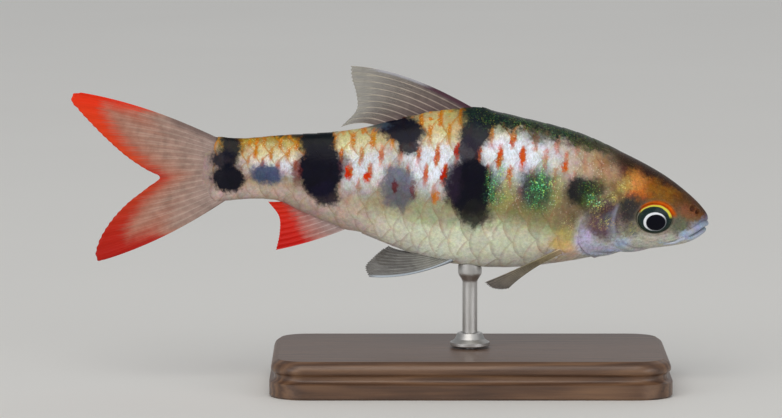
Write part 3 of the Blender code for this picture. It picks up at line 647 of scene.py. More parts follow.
def barbColour(tree, scaled):
    place, level = attribute(tree, "place", "Vector"), attribute(tree, "level")
    where = place
    for scale, reach in paint["raggedEdges"]:    # coarse to fine
        where = strayed(where, place, scale, reach)
    if scaled:    # markings follow the scales a little
        toRoot = attribute(tree, "root", "Vector").vector("SUBTRACT", place)
        where = toRoot.vector("MULTIPLY_ADD", (0.10, 0.10, 0.10), where)
    high = (noise(place, 0.7, 4.0, 0.65) - 0.5) * 0.12 + level

    rear = where.parts()[0].step(44.0, 60.0)
    shade = blend(rear, ramp(high, paint["frontRamp"]), ramp(high, paint["rearRamp"]))
    shade = washed(shade, where, paint["washes"])
    if scaled:
        shade = scalePattern(tree, shade, place, where)
    shade = grainsAndGlints(shade, place, where, "goldGrains", level)
    shade = washed(shade, where, paint["blotches"] + paint["flecks"])
    dark = zones(where, paint["ridgeZones"], 0.5) * noise(place, 1.5, 4.0, 0.7).step(0.40, 0.60, 0.0, 0.9)
    shade = blend(dark, shade, paint["ridge"])

    headShade = washed(ramp(high, paint["headRamp"]), where, paint["headWashes"])
    headShade = headDetails(tree, headShade, place, scaled)
    headShade = grainsAndGlints(headShade, place, where, "headGrains")
    shade = blend(attribute(tree, "pastHead"), headShade, shade)
    return mottled(grainsAndGlints(shade, place, where, "greenGrains"), place), place


def washed(shade, where, washes):
    for *oval, red, green, blue, strength, soft in washes:
        shade = blend(patch(where, oval, soft) * strength, shade, (red, green, blue))
    return shade


def zones(where, ovals, soft):
    total = patch(where, ovals[0], soft)
    for oval in ovals[1:]:
        total = total.maths("MAXIMUM", patch(where, oval, soft))
    return total


def headDetails(tree, shade, place, scaled):
    shade = blend(noise(place, 2.2, 5.0, 0.75).step(0.48, 0.66) * 0.40, shade, paint["freckle"])
    shade = blend(noise(place, 4.0, 3.0, 0.75).step(0.56, 0.70) * 0.30, shade, paint["headFleck"])
    if not scaled:
        for name, strength, tint in paint["reliefTints"]:
            shade = blend(attribute(tree, name) * strength, shade, tint)
    return shade


def uprightMark(x, y, wide, tall, soft):    # 1 inside a tall rounded mark, 0 outside
    reach = (x / wide).maths("ABSOLUTE").maths("POWER", 2.0) + (y / tall).maths("POWER", 2.6)
    return reach.step(1 + soft, 1 - soft)


def scalePattern(tree, shade, place, where):    # pearl patches parted by upright red bars
    column, _, row = strayed(attribute(tree, "lattice", "Vector"), place, 1.6, 0.34, 3.0).parts()
    pearls = bars = 0.0
    for shift, turn in ((0.0, 0.0), (0.5, 1.0)):    # every other row is half a scale along
        x = (column - shift).maths("WRAP", 0.5, -0.5)
        y = (row - turn).maths("WRAP", 1.0, -1.0).maths("ABSOLUTE")
        pearls = uprightMark(x, y, *paint["pearlShape"]).maths("MAXIMUM", pearls)
        bars = uprightMark((x - 0.56).maths("WRAP", 0.5, -0.5), y, *paint["barShape"]).maths("MAXIMUM", bars)
    along, _, up = where.parts()
    golden = along * 0.024 + up * 0.11    # high up and to the rear
    streaks = noise(stretched(place, (2.4, 1.0, 0.7)), 2.2, 4.0, 0.7)
    amount = pearls * zones(where, paint["pearlZones"], 0.8) * streaks.step(0.3, 0.60, 0.50, 1.0)
    shade = blend(amount, shade, blend(golden.step(1.75, 2.15), paint["pearl"], paint["goldPearl"]))
    red = blend(golden.step(1.75, 2.15), paint["bar"], paint["goldBar"])
    red = blend(noise(place, 2.6).step(0.45, 0.65, 0.0, 0.7), red, paint["deepBar"])
    uneven = noise(place, 0.30).step(0.36, 0.56, 0.45, 1.0)
    shade = blend(bars * zones(where, paint["barZones"], 0.4) * uneven * 0.92, shade, red)
    net = attribute(tree, "back").step(0.86, 0.98) * golden.step(1.70, 2.10, 0.30, 0.66)
    return blend(net, shade, blend(golden.step(1.70, 2.10), paint["net"], paint["goldNet"]))


# Grains of the fish's own iridescent green and gold; their bright dots and the rare pale specks are painted
# glints.
def grainsAndGlints(shade, place, where, kind, level=None):    # shining grains in clusters
    inputs = {"Vector": place, "Scale": paint["grainScale"], "Randomness": 1.0}
    cells = addNode(place, "TexVoronoi", inputs, "Distance")
    first, second, third = cells.other("Color").parts("SeparateColor")
    spot = cells.step(0.54, 0.24)
    glintDots = spot * first.step(0.50, 0.60)
    grain = noise(stretched(place, (1.3, 1.0, 0.75)), 2.7, 5.0, 0.8)
    clusters = noise(stretched(place, (1.1, 1.0, 0.4)), 0.95, 3.0, 0.6)
    tone = noise(place, 1.9, 3.0, 0.7) * 2.2 - 0.6
    for key, sparse, strength, dim, stops in paint[kind]:
        zone = zones(where, paint[key], 0.75) * clusters.step(0.38, 0.58, 0.15, 1.0) * strength
        glow = blend(dim, ramp(tone, stops), (0, 0, 0))
        shade = blend(grain.step(sparse - 0.08, sparse + 0.12) * zone, shade, glow)
        shade = blend(glintDots * zone, shade, ramp(second, stops))
    if level is None:
        return shade
    # Rare pale specks high on the flank, screened on: painted glints.
    flank = level.step(0.30, 0.50) * level.step(0.97, 0.86) * place.parts()[0].step(78.0, 75.5)
    return blend(spot * third.step(0.80, 0.86) * flank * 0.35, shade, paint["paleGlint"], "SCREEN")


def mottled(shade, place):    # fine and coarse unevenness over every colour
    shade = blend(0.20, shade, noise(place, 5.0, 3.0, 0.7, "Color"), "OVERLAY")
    shade = blend(0.26, shade, noise(place, 0.7, 3.0, 0.55, "Color"), "OVERLAY")
    return brighter(shade, noise(place, 1.7, 5.0, 0.8).step(0.30, 0.70, 0.84, 1.18), 1.10)


varnish = {"Specular IOR Level": 0.11, "Coat Weight": 0.03}


def skinMaterial():
    looks = {"Roughness": 0.34, "Coat Roughness": 0.08, **varnish}
    material, tree, shader = newMaterial("varnishedSkin", looks)
    shade, place = barbColour(tree, False)
    join(shader, "Base Color", shade)
    bump(shader, noise(place, 5.0, 4.0, 0.65), 0.35, 0.00014)
    return material


def scaleMaterial():
    looks = {"Roughness": 0.32, "Coat Roughness": 0.10, **varnish}
    material, tree, shader = newMaterial("paintedScales", looks)
    shade, _ = barbColour(tree, True)
    join(shader, "Base Color", brighter(shade, attribute(tree, "tone") * 0.18 + 0.91))
    local = attribute(tree, "local", "Vector")
    x, _, y = local.parts()
    rings = (local.vector("LENGTH", output=1) * 48.0).maths("SINE")
    radii = (y.maths("ARCTAN2", x) * 9.0).maths("SINE").maths("ABSOLUTE").maths("POWER", 6.0)
    bump(shader, rings * 0.25 + radii * -0.6 + attribute(tree, "canal") * 3.0, 0.25, 0.00005)
    return material


# One skin over head and body, out to the root of the tail fin

def makeSkin():
    headPart = body["headEnd"] * np.linspace(0, 1, body["headColumns"] + 1)[1:] ** 1.6
    bodyPart = np.linspace(body["headEnd"], body["skinEnd"], body["bodyColumns"] + 1)[1:]
    alongs = np.concatenate([headPart, bodyPart])
    turns = np.linspace(0, 2 * math.pi, body["around"], endpoint=False)
    a, t = np.meshgrid(alongs, turns, indexing="ij")
    points = ringPoint(a, t)
    side, up = points[..., 1], points[..., 2]
    ways = outward(a, t)
    relief, masks = headRelief(a, side, up)
    scaled = inScales(a, up)
    height = relief * fade(a, 24, 21) + swelling(points) - body["underScales"] * scaled
    points = points + ways * height[..., None]
    hubs = np.array([[-0.06, 0, -0.2], [81.6, 0, -0.3]])    # the snout's point and the tail's end
    columns = body["around"]
    ring = np.arange(columns)
    across = np.stack([ring + 0.5, ring + 1, ring], axis=1) / columns
    capSpots = [np.stack([np.full((columns, 3), end), across], axis=-1) for end in (0.0, 1.0)]
    values = {key: np.append(mask.ravel(), (0, 0)) for key, mask in masks.items()}
    values["place"] = np.concatenate([points.reshape(-1, 3), hubs])
    values["level"] = np.append(levelAt(a, up).ravel(), (0.5, 0.5))
    values["pastHead"] = np.append(pastHead(a, up).ravel(), (0, 1))
    mesh = cappedRings("skin", inPlace(points), inPlace(hubs), values, capSpots)
    nodes = ("head", "lower_jaw", "gill_cover_right", "gill_cover_left", "torso", "tail")
    addPiece("skin", mesh, skinMaterial(), nodes)


makeSkin()
print("skin made")


# Scales: rows follow the flank's own arc up and down from the lateral line

scales = {
    "lateralLine": (
        (16.5, 2.2), (22, 1.4), (30, 0.4), (40, -0.2), (52, -0.6), (64, -0.5), (74, -0.1), (82, 0.0),
    ),
    "lengths": (
        (14, 2.7), (20, 2.9), (25, 3.3), (30, 3.7), (36, 3.45), (41, 3.3), (45, 3.0), (49, 2.85),
        (53, 3.1), (57, 3.2), (62, 2.9), (68, 2.75), (72, 2.45), (76, 2.2), (82, 2.1),
    ),
    "rowSteps": ((14, 2.5), (20, 2.8), (26, 3.2), (38, 3.5), (50, 3.05), (60, 2.4), (70, 1.85), (82, 1.75)),
    "firstBar": 34.4,
    "barAt": 0.56,
    "steps": 15,
    "thickness": 0.035,
    "lift": (-0.05, 0.10),
    "camber": 0.035,
    "bellyLift": 0.55,
    "sizeSpread": 0.04,
    "liftSpread": 0.008,
    "lastRoot": 79.3,
    "middleRows": ((15.8, 36.5, True), (54.5, 78.5, True), (19.5, 55.0, False), (67.5, 78.5, False)),
    "seed": 7,
}

tableAlongs = np.linspace(12, 82, 281)
tableShares = np.linspace(0, 1, 241)


def tableAt(along, table):
    return np.interp(along, tableAlongs, table)


def flankTables():
    turns = np.linspace(0, math.pi, 361)
    a, t = np.meshgrid(tableAlongs, turns, indexing="ij")
    points = ringPoint(a, t)
    arcs = np.linalg.norm(np.diff(points, axis=1), axis=2)
    arcs = np.concatenate([np.zeros((len(a), 1)), np.cumsum(arcs, axis=1)], axis=1)
    lengths = arcs[:, -1]
    turnTable = np.stack([np.interp(tableShares * lengths[i], arcs[i], turns) for i in range(len(a))])
    line = smoothValue(tableAlongs, *np.array(scales["lateralLine"]).T)
    lineArcs = np.array([np.interp(-line[i], -points[i, :, 2], arcs[i]) for i in range(len(a))])
    return turnTable, lengths, lineArcs


turnTable, flankLengths, lineArcs = flankTables()
rowSteps = smoothValue(tableAlongs, *np.array(scales["rowSteps"]).T)
scaleLengths = smoothValue(tableAlongs, *np.array(scales["lengths"]).T)
scaleCounts = np.diff(tableAlongs) * 2 / (scaleLengths[1:] + scaleLengths[:-1])
scaleCounts = np.concatenate([[0], np.cumsum(scaleCounts)])
scaleCounts -= tableAt(scales["firstBar"], scaleCounts) - scales["barAt"]


def flankPoint(column, row, lift):    # a place counted in scales, column backwards and row upwards
    along = np.interp(column, scaleCounts, tableAlongs)
    share = (tableAt(along, lineArcs) - row * tableAt(along, rowSteps)) / tableAt(along, flankLengths)
    inside = np.where(share < 0, -share, np.where(share > 1, 2 - share, share))
    x = np.clip((along - tableAlongs[0]) / (tableAlongs[1] - tableAlongs[0]), 0, len(tableAlongs) - 1.001)
    y = np.clip(inside * (len(tableShares) - 1), 0, len(tableShares) - 1.001)
    i, j = x.astype(int), y.astype(int)
    u, v = x - i, y - j
    turn = (turnTable[i, j] * (1 - u) + turnTable[i + 1, j] * u) * (1 - v)
    turn = turn + (turnTable[i, j + 1] * (1 - u) + turnTable[i + 1, j + 1] * u) * v
    turn = np.where(share < 0, -turn, np.where(share > 1, 2 * math.pi - turn, turn))
    base = ringPoint(along, turn)
    return base + outward(along, turn) * (lift + swelling(base))[..., None], turn


def scaleGrid():    # one scale: 0 to 1 from root to free edge, -1 to 1 across
    n = scales["steps"]
    ways = np.linspace(0, 1, n) ** 0.85, np.sin(np.linspace(-1, 1, n) * math.pi / 2)
    p, q = np.meshgrid(*ways, indexing="ij")
    wide = 0.80 + 0.24 * fade(p, 0, 0.35)
    back = -1.05 + (1.67 - 0.50 * np.abs(q) ** 2.1) * p
    return p, q, back, q * wide


def scaleFaces(n):
    quads, _ = sheetFaces(n, n)
    rim = gridRim(np.arange(n * n).reshape(n, n))
    count = len(rim)
    under = n * n + np.arange(count)
    skirt = np.stack([rim, np.roll(rim, -1), np.roll(under, -1), under], axis=1)[:, ::-1]
    fan = np.stack([np.full(count, n * n + count), under, np.roll(under, -1)], axis=1)
    return quads, skirt, fan, rim


def scaleFlare(centres):    # scales lie flatter on the belly
    points, _ = flankPoint(centres[:, 0], centres[:, 1], np.zeros(len(centres)))
    flare = fade(levelAt(points[:, 0], points[:, 2]), 0.15, 0.5)
    return scales["bellyLift"] + (1 - scales["bellyLift"]) * flare


def makeScales(name, centres, sign, rng):    # centres: (column, row) of each scale
    n = scales["steps"]
    p, q, back, across = scaleGrid()
    quads, skirt, fan, rim = scaleFaces(n)
    centres = np.array(centres, float)
    count = len(centres)
    size = 1 + scales["sizeSpread"] * rng.standard_normal(count)
    raised = scales["liftSpread"] * rng.standard_normal(count)
    tone = rng.random(count)
    column = centres[:, 0, None, None] + back * size[:, None, None]
    row = centres[:, 1, None, None] + across * size[:, None, None]
    low, high = scales["lift"]
    edge = fade(np.maximum(np.abs(q), p), 0.86, 1.0)
    lift = low + (high - low) * p**1.2 + scales["camber"] * (1 - q**2) * fade(p, 0.1, 0.6) - 0.02 * edge
    lift = (lift + raised[:, None, None] * p) * scaleFlare(centres)[:, None, None]
    top, _ = flankPoint(column, row, lift)
    rimColumn = column.reshape(count, -1)[:, rim]
    rimRow = row.reshape(count, -1)[:, rim]
    rimLift = lift.reshape(count, -1)[:, rim] - scales["thickness"]
    below, _ = flankPoint(rimColumn, rimRow, rimLift)
    hub, _ = flankPoint(centres[:, 0, None] - 0.2, centres[:, 1, None], np.full((count, 1), low))
    points = np.concatenate([top.reshape(count, -1, 3), below, hub], axis=1)
    points[..., 1] *= sign
    root, turn = flankPoint(centres[:, 0], centres[:, 1], np.zeros(count))
    root[..., 1] *= sign

    def spread(grid, hubValue):    # the same value for the rim's lower edge as above it
        grid = np.broadcast_to(grid, (count, n, n)).reshape(count, -1)
        return np.concatenate([grid, grid[:, rim], np.full((count, 1), hubValue)], axis=1)

    lattice = np.stack([spread(column, 0), np.zeros_like(spread(row, 0)), spread(row, 0)], axis=-1)
    local = np.stack([spread((p - 0.35) * 1.1, 0), np.zeros_like(spread(q, 0)), spread(q * 0.8, 0)], axis=-1)
    onLine = (np.abs(centres[:, 1]) < 0.01)[:, None, None]
    canal = onLine * hump(q, 0, 0.10) * fade(p, 0.40, 0.48) * fade(p, 0.88, 0.78)
    each = n * n + len(rim) + 1
    behind = np.ones((count, each))
    ahead = root[:, 0] < 27
    behind[ahead] = pastHead(points[ahead, :, 0], points[ahead, :, 2])
    values = {
        "place": points,
        "root": np.repeat(root[:, None], each, axis=1),
        "level": levelAt(points[..., 0], points[..., 2]),
        "pastHead": behind,
        "lattice": lattice,
        "local": local,
        "back": spread(p, 0.5),
        "canal": spread(canal, 0),
        "tone": np.repeat(tone[:, None], each, axis=1),
    }
    # Each scale keeps a small patch of the flat map, where its root stands on the skin
    patchAt = np.stack([root[:, 0] / body["skinEnd"], (turn * sign / (2 * math.pi)) % 1], axis=-1)
    spotU = spread(p, 0.5) - 0.5
    spotV = spread(q / 2, 0.0)
    spot = patchAt[:, None] + 0.003 * np.stack([spotU, spotV], axis=-1)
    starts = (np.arange(count) * each)[:, None, None]
    groups = []
    for faces in (quads, skirt, fan):
        sides = faces.shape[1]
        groups.append(((faces[None] + starts).reshape(-1, sides), spot[:, faces].reshape(-1, sides, 2)))
    mesh = buildMesh(name, inPlace(points.reshape(-1, 3)), groups, values)
    mesh.set_sharp_from_angle(angle=math.radians(40))    # the rim doesn't darken the scale's face
    return mesh


def flankCentres():
    centres = []
    firstColumn = int(np.floor(scaleCounts[0]))
    lastColumn = tableAt(scales["lastRoot"], scaleCounts)
    for row in range(-8, 9):
        column = firstColumn + 0.5 * (row % 2)
        while column < lastColumn:
            along = np.interp(column, scaleCounts, tableAlongs)
            step = tableAt(along, rowSteps)
            arc = tableAt(along, lineArcs) - row * step
            onFlank = 0.25 * step < arc < tableAt(along, flankLengths) - 0.25 * step
            if column > scaleCounts[8] and onFlank:
                up = flankPoint(np.array([column]), np.array([float(row)]), np.zeros(1))[0][0, 2]
                if inScales(np.array([along - 0.4]), np.array([up]))[0] > 0.5:
                    centres.append((column, float(row)))
            column += 1
    return centres


def middleCentres():    # a row astride the back and one astride the belly
    centres = []
    for start, end, onBack in scales["middleRows"]:
        column = tableAt(start, scaleCounts)
        while column < tableAt(end, scaleCounts):
            along = np.interp(column, scaleCounts, tableAlongs)
            arc = 0.0 if onBack else tableAt(along, flankLengths)
            centres.append((column, (tableAt(along, lineArcs) - arc) / tableAt(along, rowSteps)))
            column += 0.8
    return centres


def makeCoat():
    material = scaleMaterial()
    rng = np.random.default_rng(scales["seed"])
    centres = flankCentres()
    print("scales on each flank:", len(centres))
    for name, sign in (("scales_right", -1), ("scales_left", 1)):
        addPiece(name, makeScales(name, centres, sign, rng), material)
    addPiece("scales_middle", makeScales("scales_middle", middleCentres(), 1, rng), material)


makeCoat()
print("scales made")


# Eyes

eye = {
    "rings": 44,
    "around": 120,
    "dome": 0.42,
    "tuck": 0.5,
    "pupilAt": (-0.06, 0.0, -0.19),
    "pupilReach": (0.556, 0.518),
    "ringAt": (-0.01, 0.0, -0.15),
    "ringReach": (0.650, 0.612),
    "spokes": (4.5, 8.5, 5.5),
    "arc": (72, 66, 6),
    "flame": (55, 10, 1),
    "greyRing": (20, 21, 22),
    "whiteRing": (84, 86, 90),
    "pupil": (0.04, 0.04, 0.5),
    "stops": (
        (0, 0.8, 1.5, 1.8), (0.74, 0.9, 2, 2.2),
        (0.86, 2.2, 3.2, 2.4), (0.925, 1.2, 1.5, 1.2), (0.96, 20, 20, 15), (1, 6, 5, 3.5),
    ),
}


def eyeMaterial():
    looks = {"Roughness": 0.14, "Specular IOR Level": 0.08, "Coat Weight": 0.10, "Coat Roughness": 0.02}
    material, tree, shader = newMaterial("glossEye", looks)
    spot = attribute(tree, "spot", "Vector")
    spot = strayed(spot, spot, 2.6, 0.07, 3.0, 0.55)
    reach = spot.vector("LENGTH", output=1)
    x, _, y = spot.parts()
    fanned = addNode(tree, "CombineXYZ", {0: y.maths("ARCTAN2", x) * 6.0, 1: reach})
    spokes = noise(fanned, 3.0, 3.0)
    shade = ramp(reach, eye["stops"])
    shade = blend(reach.step(0.93, 0.88) * spokes.step(0.45, 0.75, 0.0, 0.55), shade, eye["spokes"])
    # A thin yellow arc from the rear over the top to the front, under an orange rim
    arc = (reach - (x * 0.07 + 0.845)).step(-0.03, 0.03) * reach.step(0.965, 0.92)
    upper = (x * -0.12 + y).step(0.18, 0.45)
    shade = blend(arc * upper, shade, eye["arc"])
    shade = blend(reach.step(0.93, 0.97) * upper, shade, eye["flame"])
    # The white ring is broad behind and above, thin and grey in front and below
    glow = (x * 0.75 + y * 0.65 + (spokes - 0.5) * 0.5).step(-0.55, 0.05)
    white = blend(glow, eye["greyRing"], eye["whiteRing"])
    for key, reached, tint in (("ringAt", "ringReach", white), ("pupilAt", "pupilReach", eye["pupil"])):
        away = spot.vector("SUBTRACT", eye[key]).vector("LENGTH", output=1)
        shade = blend(away.step(*eye[reached]), shade, tint)
    join(shader, "Base Color", shade)
    return material


def makeEye(name, sign, material):
    back, out, rise = flankWays(*head["eyeCentre"])
    centre = eyeSeat()
    reach = np.linspace(0, 1, eye["rings"] + 1)[1:]
    turns = np.linspace(0, 2 * math.pi, eye["around"], endpoint=False)
    r, t = np.meshgrid(reach, turns, indexing="ij")
    x, y = r * np.cos(t) * head["eyeHalf"][0], r * np.sin(t) * head["eyeHalf"][1]
    flat = centre + x[..., None] * back + y[..., None] * rise
    spread = sideAt(flat[..., 0], flat[..., 2])    # the head's own side at each place
    lift = eye["dome"] * np.sqrt(np.clip(1 - r**2, 0, 1)) - 0.10 * fade(r, 0.9, 1.0) + 0.02
    front = np.stack([flat[..., 0], spread, flat[..., 2]], axis=-1) + out * lift[..., None]
    rings = np.concatenate([front, front[-1:] - out * eye["tuck"]])
    hubs = np.stack([centre + out * (eye["dome"] + 0.02), centre - out * 1.2])
    spot = np.stack([np.cos(t) * r, 0 * r, np.sin(t) * r], axis=-1)
    spot = np.concatenate([spot, spot[-1:] * 1.02]).reshape(-1, 3)
    spot = np.concatenate([spot, [[0, 0, 0], [0, 0, 1.0]]])
    onRear = np.arange(len(spot)) >= front[..., 0].size
    disc = 0.5 + 0.48 * spot[:, (0, 2)] * np.where(onRear, 1.02, 1.0)[:, None]
    flip = (1, sign, 1)
    mesh = cappedRings(name, inPlace(rings * flip), inPlace(hubs * flip), {"spot": spot}, flatMap=disc)
    addPiece(name, mesh, material, (name,))


glossEye = eyeMaterial()
for name, sign in (("eye_right", -1), ("eye_left", 1)):
    makeEye(name, sign, glossEye)
print("eyes made")


# Barbels

barbel = {
    "root": (3.5, -3.45),
    "tip": (6.9, -4.75),
    "standOff": (-0.05, 0.62),
    "bow": 0.2,
    "radius": 0.27,
    "taper": 0.75,
    "shades": ((0.3, 34, 38, 46), (0.7, 52, 56, 66)),
    "steps": 40,
    "around": 20,
}


def tubeAlong(path, radii, around):
    ways = np.gradient(path, axis=0)
    ways /= np.linalg.norm(ways, axis=1)[:, None]
    first = np.cross(ways, (0, 0, 1.0))
    first /= np.linalg.norm(first, axis=1)[:, None]
    second = np.cross(ways, first)
    t = np.linspace(0, 2 * math.pi, around, endpoint=False)
    ring = first[:, None] * np.cos(t)[None, :, None] + second[:, None] * np.sin(t)[None, :, None]
    return path[:, None] + ring * radii[:, None, None]


def barbelMaterial():
    looks = {"Roughness": 0.34, "Coat Weight": 0.3, "Coat Roughness": 0.15}
    material, tree, shader = newMaterial("barbelSkin", looks)
    place = attribute(tree, "place", "Vector")
    join(shader, "Base Color", ramp(noise(place, 1.6, 3.0), barbel["shades"]))
    bump(shader, noise(place, 6.0), 0.3, 0.0001)
    return material


def makeBarbels():
    material = barbelMaterial()
    for name, sign in (("barbel_right", -1), ("barbel_left", 1)):
        ends = [
            np.array([a, sign * (float(sideAt(a, u)) + off), u])
            for (a, u), off in zip((barbel["root"], barbel["tip"]), barbel["standOff"])
        ]
        middle = (ends[0] + ends[1]) / 2 + np.array([0, sign, -1]) * barbel["bow"]
        path = smoothPath([ends[0], middle, ends[1]], barbel["steps"])
        s = np.linspace(0, 1, barbel["steps"])
        radii = barbel["radius"] * (1 - barbel["taper"] * s**1.5) * np.sqrt(np.clip(1 - s**12, 0.02, 1))
        rings = tubeAlong(path, radii, barbel["around"])
        ends = path[[0, -1]]
        values = {"place": np.concatenate([rings.reshape(-1, 3), ends])}
        mesh = cappedRings(name, inPlace(rings), inPlace(ends), values)
        addPiece(name, mesh, material, (name,))


makeBarbels()
print("barbels made")


# Fins: a thin web stretched between rays that fork towards the edge

fins = {
    "columnsPerRay": 22,
    "rows": 84,
    "web": 0.11,
    "rootFlesh": 0.75,
    "rayHeight": 0.20,
    "rayWidths": (0.125, 0.040),
    "leadWidths": (0.20, 0.12),
    "twig": 0.48,
    "mapShare": 0.48,
    "jointsPerRay": 34,
    "pucker": 0.05,
    "dorsal": {
        "rays": 10, "forkAt": 0.62, "notch": 0.012, "fork": 0.14,
        "roots": ((37.4, 0, 12.9), (45.8, 0, 11.4), (53.1, 0, 8.9)),
        "bends": ((50.5, -0.2, 19.2), (53.7, -0.3, 14.6), (56.4, -0.1, 10.5)),
        "tips": (
            (59.5, 0.5, 18.5), (59.2, 0.3, 16.7), (58.3, 0.0, 14.5), (57.8, -0.2, 12.1), (60.1, 0.0, 8.6),
        ),
    },
    "anal": {
        "rays": 10, "forkAt": 0.18, "notch": 0.006, "fork": 0.24, "rayHeight": 0.12,
        "redWidths": ((0, 5.6), (0.1, 4.6), (0.25, 3.6), (0.5, 2.5), (0.8, 2.2), (1, 2.6)),
        "redBands": ((0, 0.6, 8.5),),
        "roots": ((56.5, 0, -7.0), (61.1, 0, -5.3), (65.9, 0, -3.6)),
        "bends": ((61.9, 0.2, -10.1), (64.9, 0.3, -7.2), (68.0, 0, -4.4)),
        "tips": ((68.5, -0.4, -12.1), (68.2, -0.2, -9.5), (68.5, 0.1, -6.8), (70.5, 0, -4.5)),
    },
    "tail": {
        "rays": 19, "forkAt": 0.08, "notch": 0.006, "fork": 0.25,
        "rayHeight": 0.10,
        "roots": ((79.8, 0, 4.95), (79.3, 0, 2.5), (79.1, 0, -0.4), (78.7, 0, -3.2), (77.2, 0, -4.9)),
        "bends": (
            (91.6, 0.4, 9.25), (88.3, 0.3, 4.5), (84.2, 0, -1.2), (85.6, -0.3, -6.3), (86.5, -0.4, -12.6),
        ),
        "tips": (
            (102.0, -1.0, 10.05), (103.3, -1.0, 9.65), (103.45, -1.0, 8.7), (102.2, -0.9, 7.3),
            (99.9, -0.7, 5.2), (97.4, -0.5, 3.1), (93.2, -0.2, 0.1), (90.1, 0, -1.5),
            (88.2, 0, -2.3), (90.0, 0.1, -4.2), (93.0, 0.3, -7.1), (94.6, 0.5, -9.1),
            (95.9, 0.6, -11.2), (97.1, 0.9, -14.2), (97.3, 1.0, -15.9), (96.8, 1.0, -16.9),
            (95.8, 1.0, -16.6),
        ),
        "redWidths": (
            (0, 6.2), (0.06, 4.9), (0.15, 3.1), (0.3, 1.9), (0.45, 1.2), (0.5, 0.9), (0.6, 1.8), (0.75, 2.6),
            (0.88, 4.2), (0.95, 5.8), (1, 6.6),
        ),
        "redBands": ((0, 0.9, 17.0), (1, 2.0, 16.0)),
    },
    "pelvic": {
        "rays": 9, "forkAt": 0.45, "notch": 0.016, "fork": 0.18,
        "roots": ((39.3, 1.9, -10.3), (41.6, 1.4, -10.25), (43.7, 0.9, -9.9)),
        "bends": ((46.6, 4.2, -14.4), (47.3, 3.0, -12.4), (48.2, 1.7, -10.9)),
        "tips": {
            -1: ((53.3, 5.8, -14.3), (54, 4.7, -12.9), (52.9, 3.3, -11.4), (51.4, 2, -9.95)),
            1: ((51.8, 5.9, -13.6), (52.5, 4.8, -12.4), (51.7, 3.4, -11.1), (50.6, 2.1, -9.9)),
        },
    },
    "pectoral": {
        "rays": 9, "forkAt": 0.5, "notch": 0.016, "fork": 0.16,
        "roots": ((20.9, 3.0, -5.5), (20.9, 2.8, -6.0), (20.8, 2.4, -6.6)),
        "bends": {
            -1: ((27.9, 7.6, -9.5), (27.7, 7.4, -9.55), (27.5, 7.1, -9.6)),
            1: ((27.9, 8, -8.8), (27.7, 7.8, -8.9), (27.5, 7.5, -9.0)),
        },
        "tips": {
            -1: ((34.9, 9.6, -12.9), (33.8, 8.9, -13.7), (32.3, 8.1, -13.95), (31.0, 7.4, -13.8)),
            1: ((34.9, 10.6, -10.6), (33.9, 10.1, -11.5), (32.4, 9.4, -12), (31.1, 8.8, -12.1)),
        },
    },
}


def finSheet(form, sign, gap, t):    # places on the fin's middle sheet, scalloped between rays
    def listed(key):
        chosen = form[key][sign] if isinstance(form[key], dict) else form[key]
        return [(a, s * sign, u) for a, s, u in chosen]

    roots, bends, tips = (smoothPath(listed(key), len(gap)) for key in ("roots", "bends", "tips"))
    scallop = form["notch"] * np.sin(np.pi * np.abs(gap) * 2) ** 2 * fade(t, 0.6, 1.0)
    f = (t * (1 - scallop))[..., None]
    return (1 - f) ** 2 * roots[:, None] + 2 * f * (1 - f) * bends[:, None] + f**2 * tips[:, None]


def rayRidges(form, ray, gap, t):    # 1 on the crest of a ray; each ray forks once and then again
    apart = fade(t, form["forkAt"], 0.95) * form["fork"]
    again = fade(t, form["forkAt"] + 0.28, 1.0) * form["fork"] * fins["twig"]
    branch = np.abs(np.abs(gap) - apart)
    forked = (np.round(ray) >= 1) * (np.round(ray) < form["rays"])    # the leading ray stays whole
    near = np.where(forked, np.abs(branch - again), np.abs(gap))
    width = np.where(forked, between(*fins["rayWidths"], t), between(*fins["leadWidths"], t))
    return np.exp(-((near / width) ** 2)) * (0.55 + 0.45 * fade(t, 1.0, 0.6))


def redReach(form, grid, leading):    # millimetres outside the red border, negative within it
    if "redWidths" not in form:
        return 99.0
    remain = np.cumsum(np.linalg.norm(np.diff(grid, axis=1), axis=2)[:, ::-1], axis=1)[:, ::-1]
    remain = np.pad(remain, ((0, 0), (0, 1)))
    inset = np.cumsum(np.linalg.norm(np.diff(grid, axis=0), axis=2), axis=0)
    inset = np.pad(inset, ((1, 0), (0, 0)))
    gap = remain - smoothValue(leading, *np.array(form["redWidths"]).T)
    for side, wide, long in form["redBands"]:
        fromEdge = inset if side == 0 else inset[-1] - inset
        band = fromEdge - wide * fade(remain, long, 0.3 * long)
        band += 8 * fade(remain, 0.55 * long, 1.15 * long)
        gap = np.minimum(gap, np.where(remain < 1.15 * long, band, 99.0))
    return gap


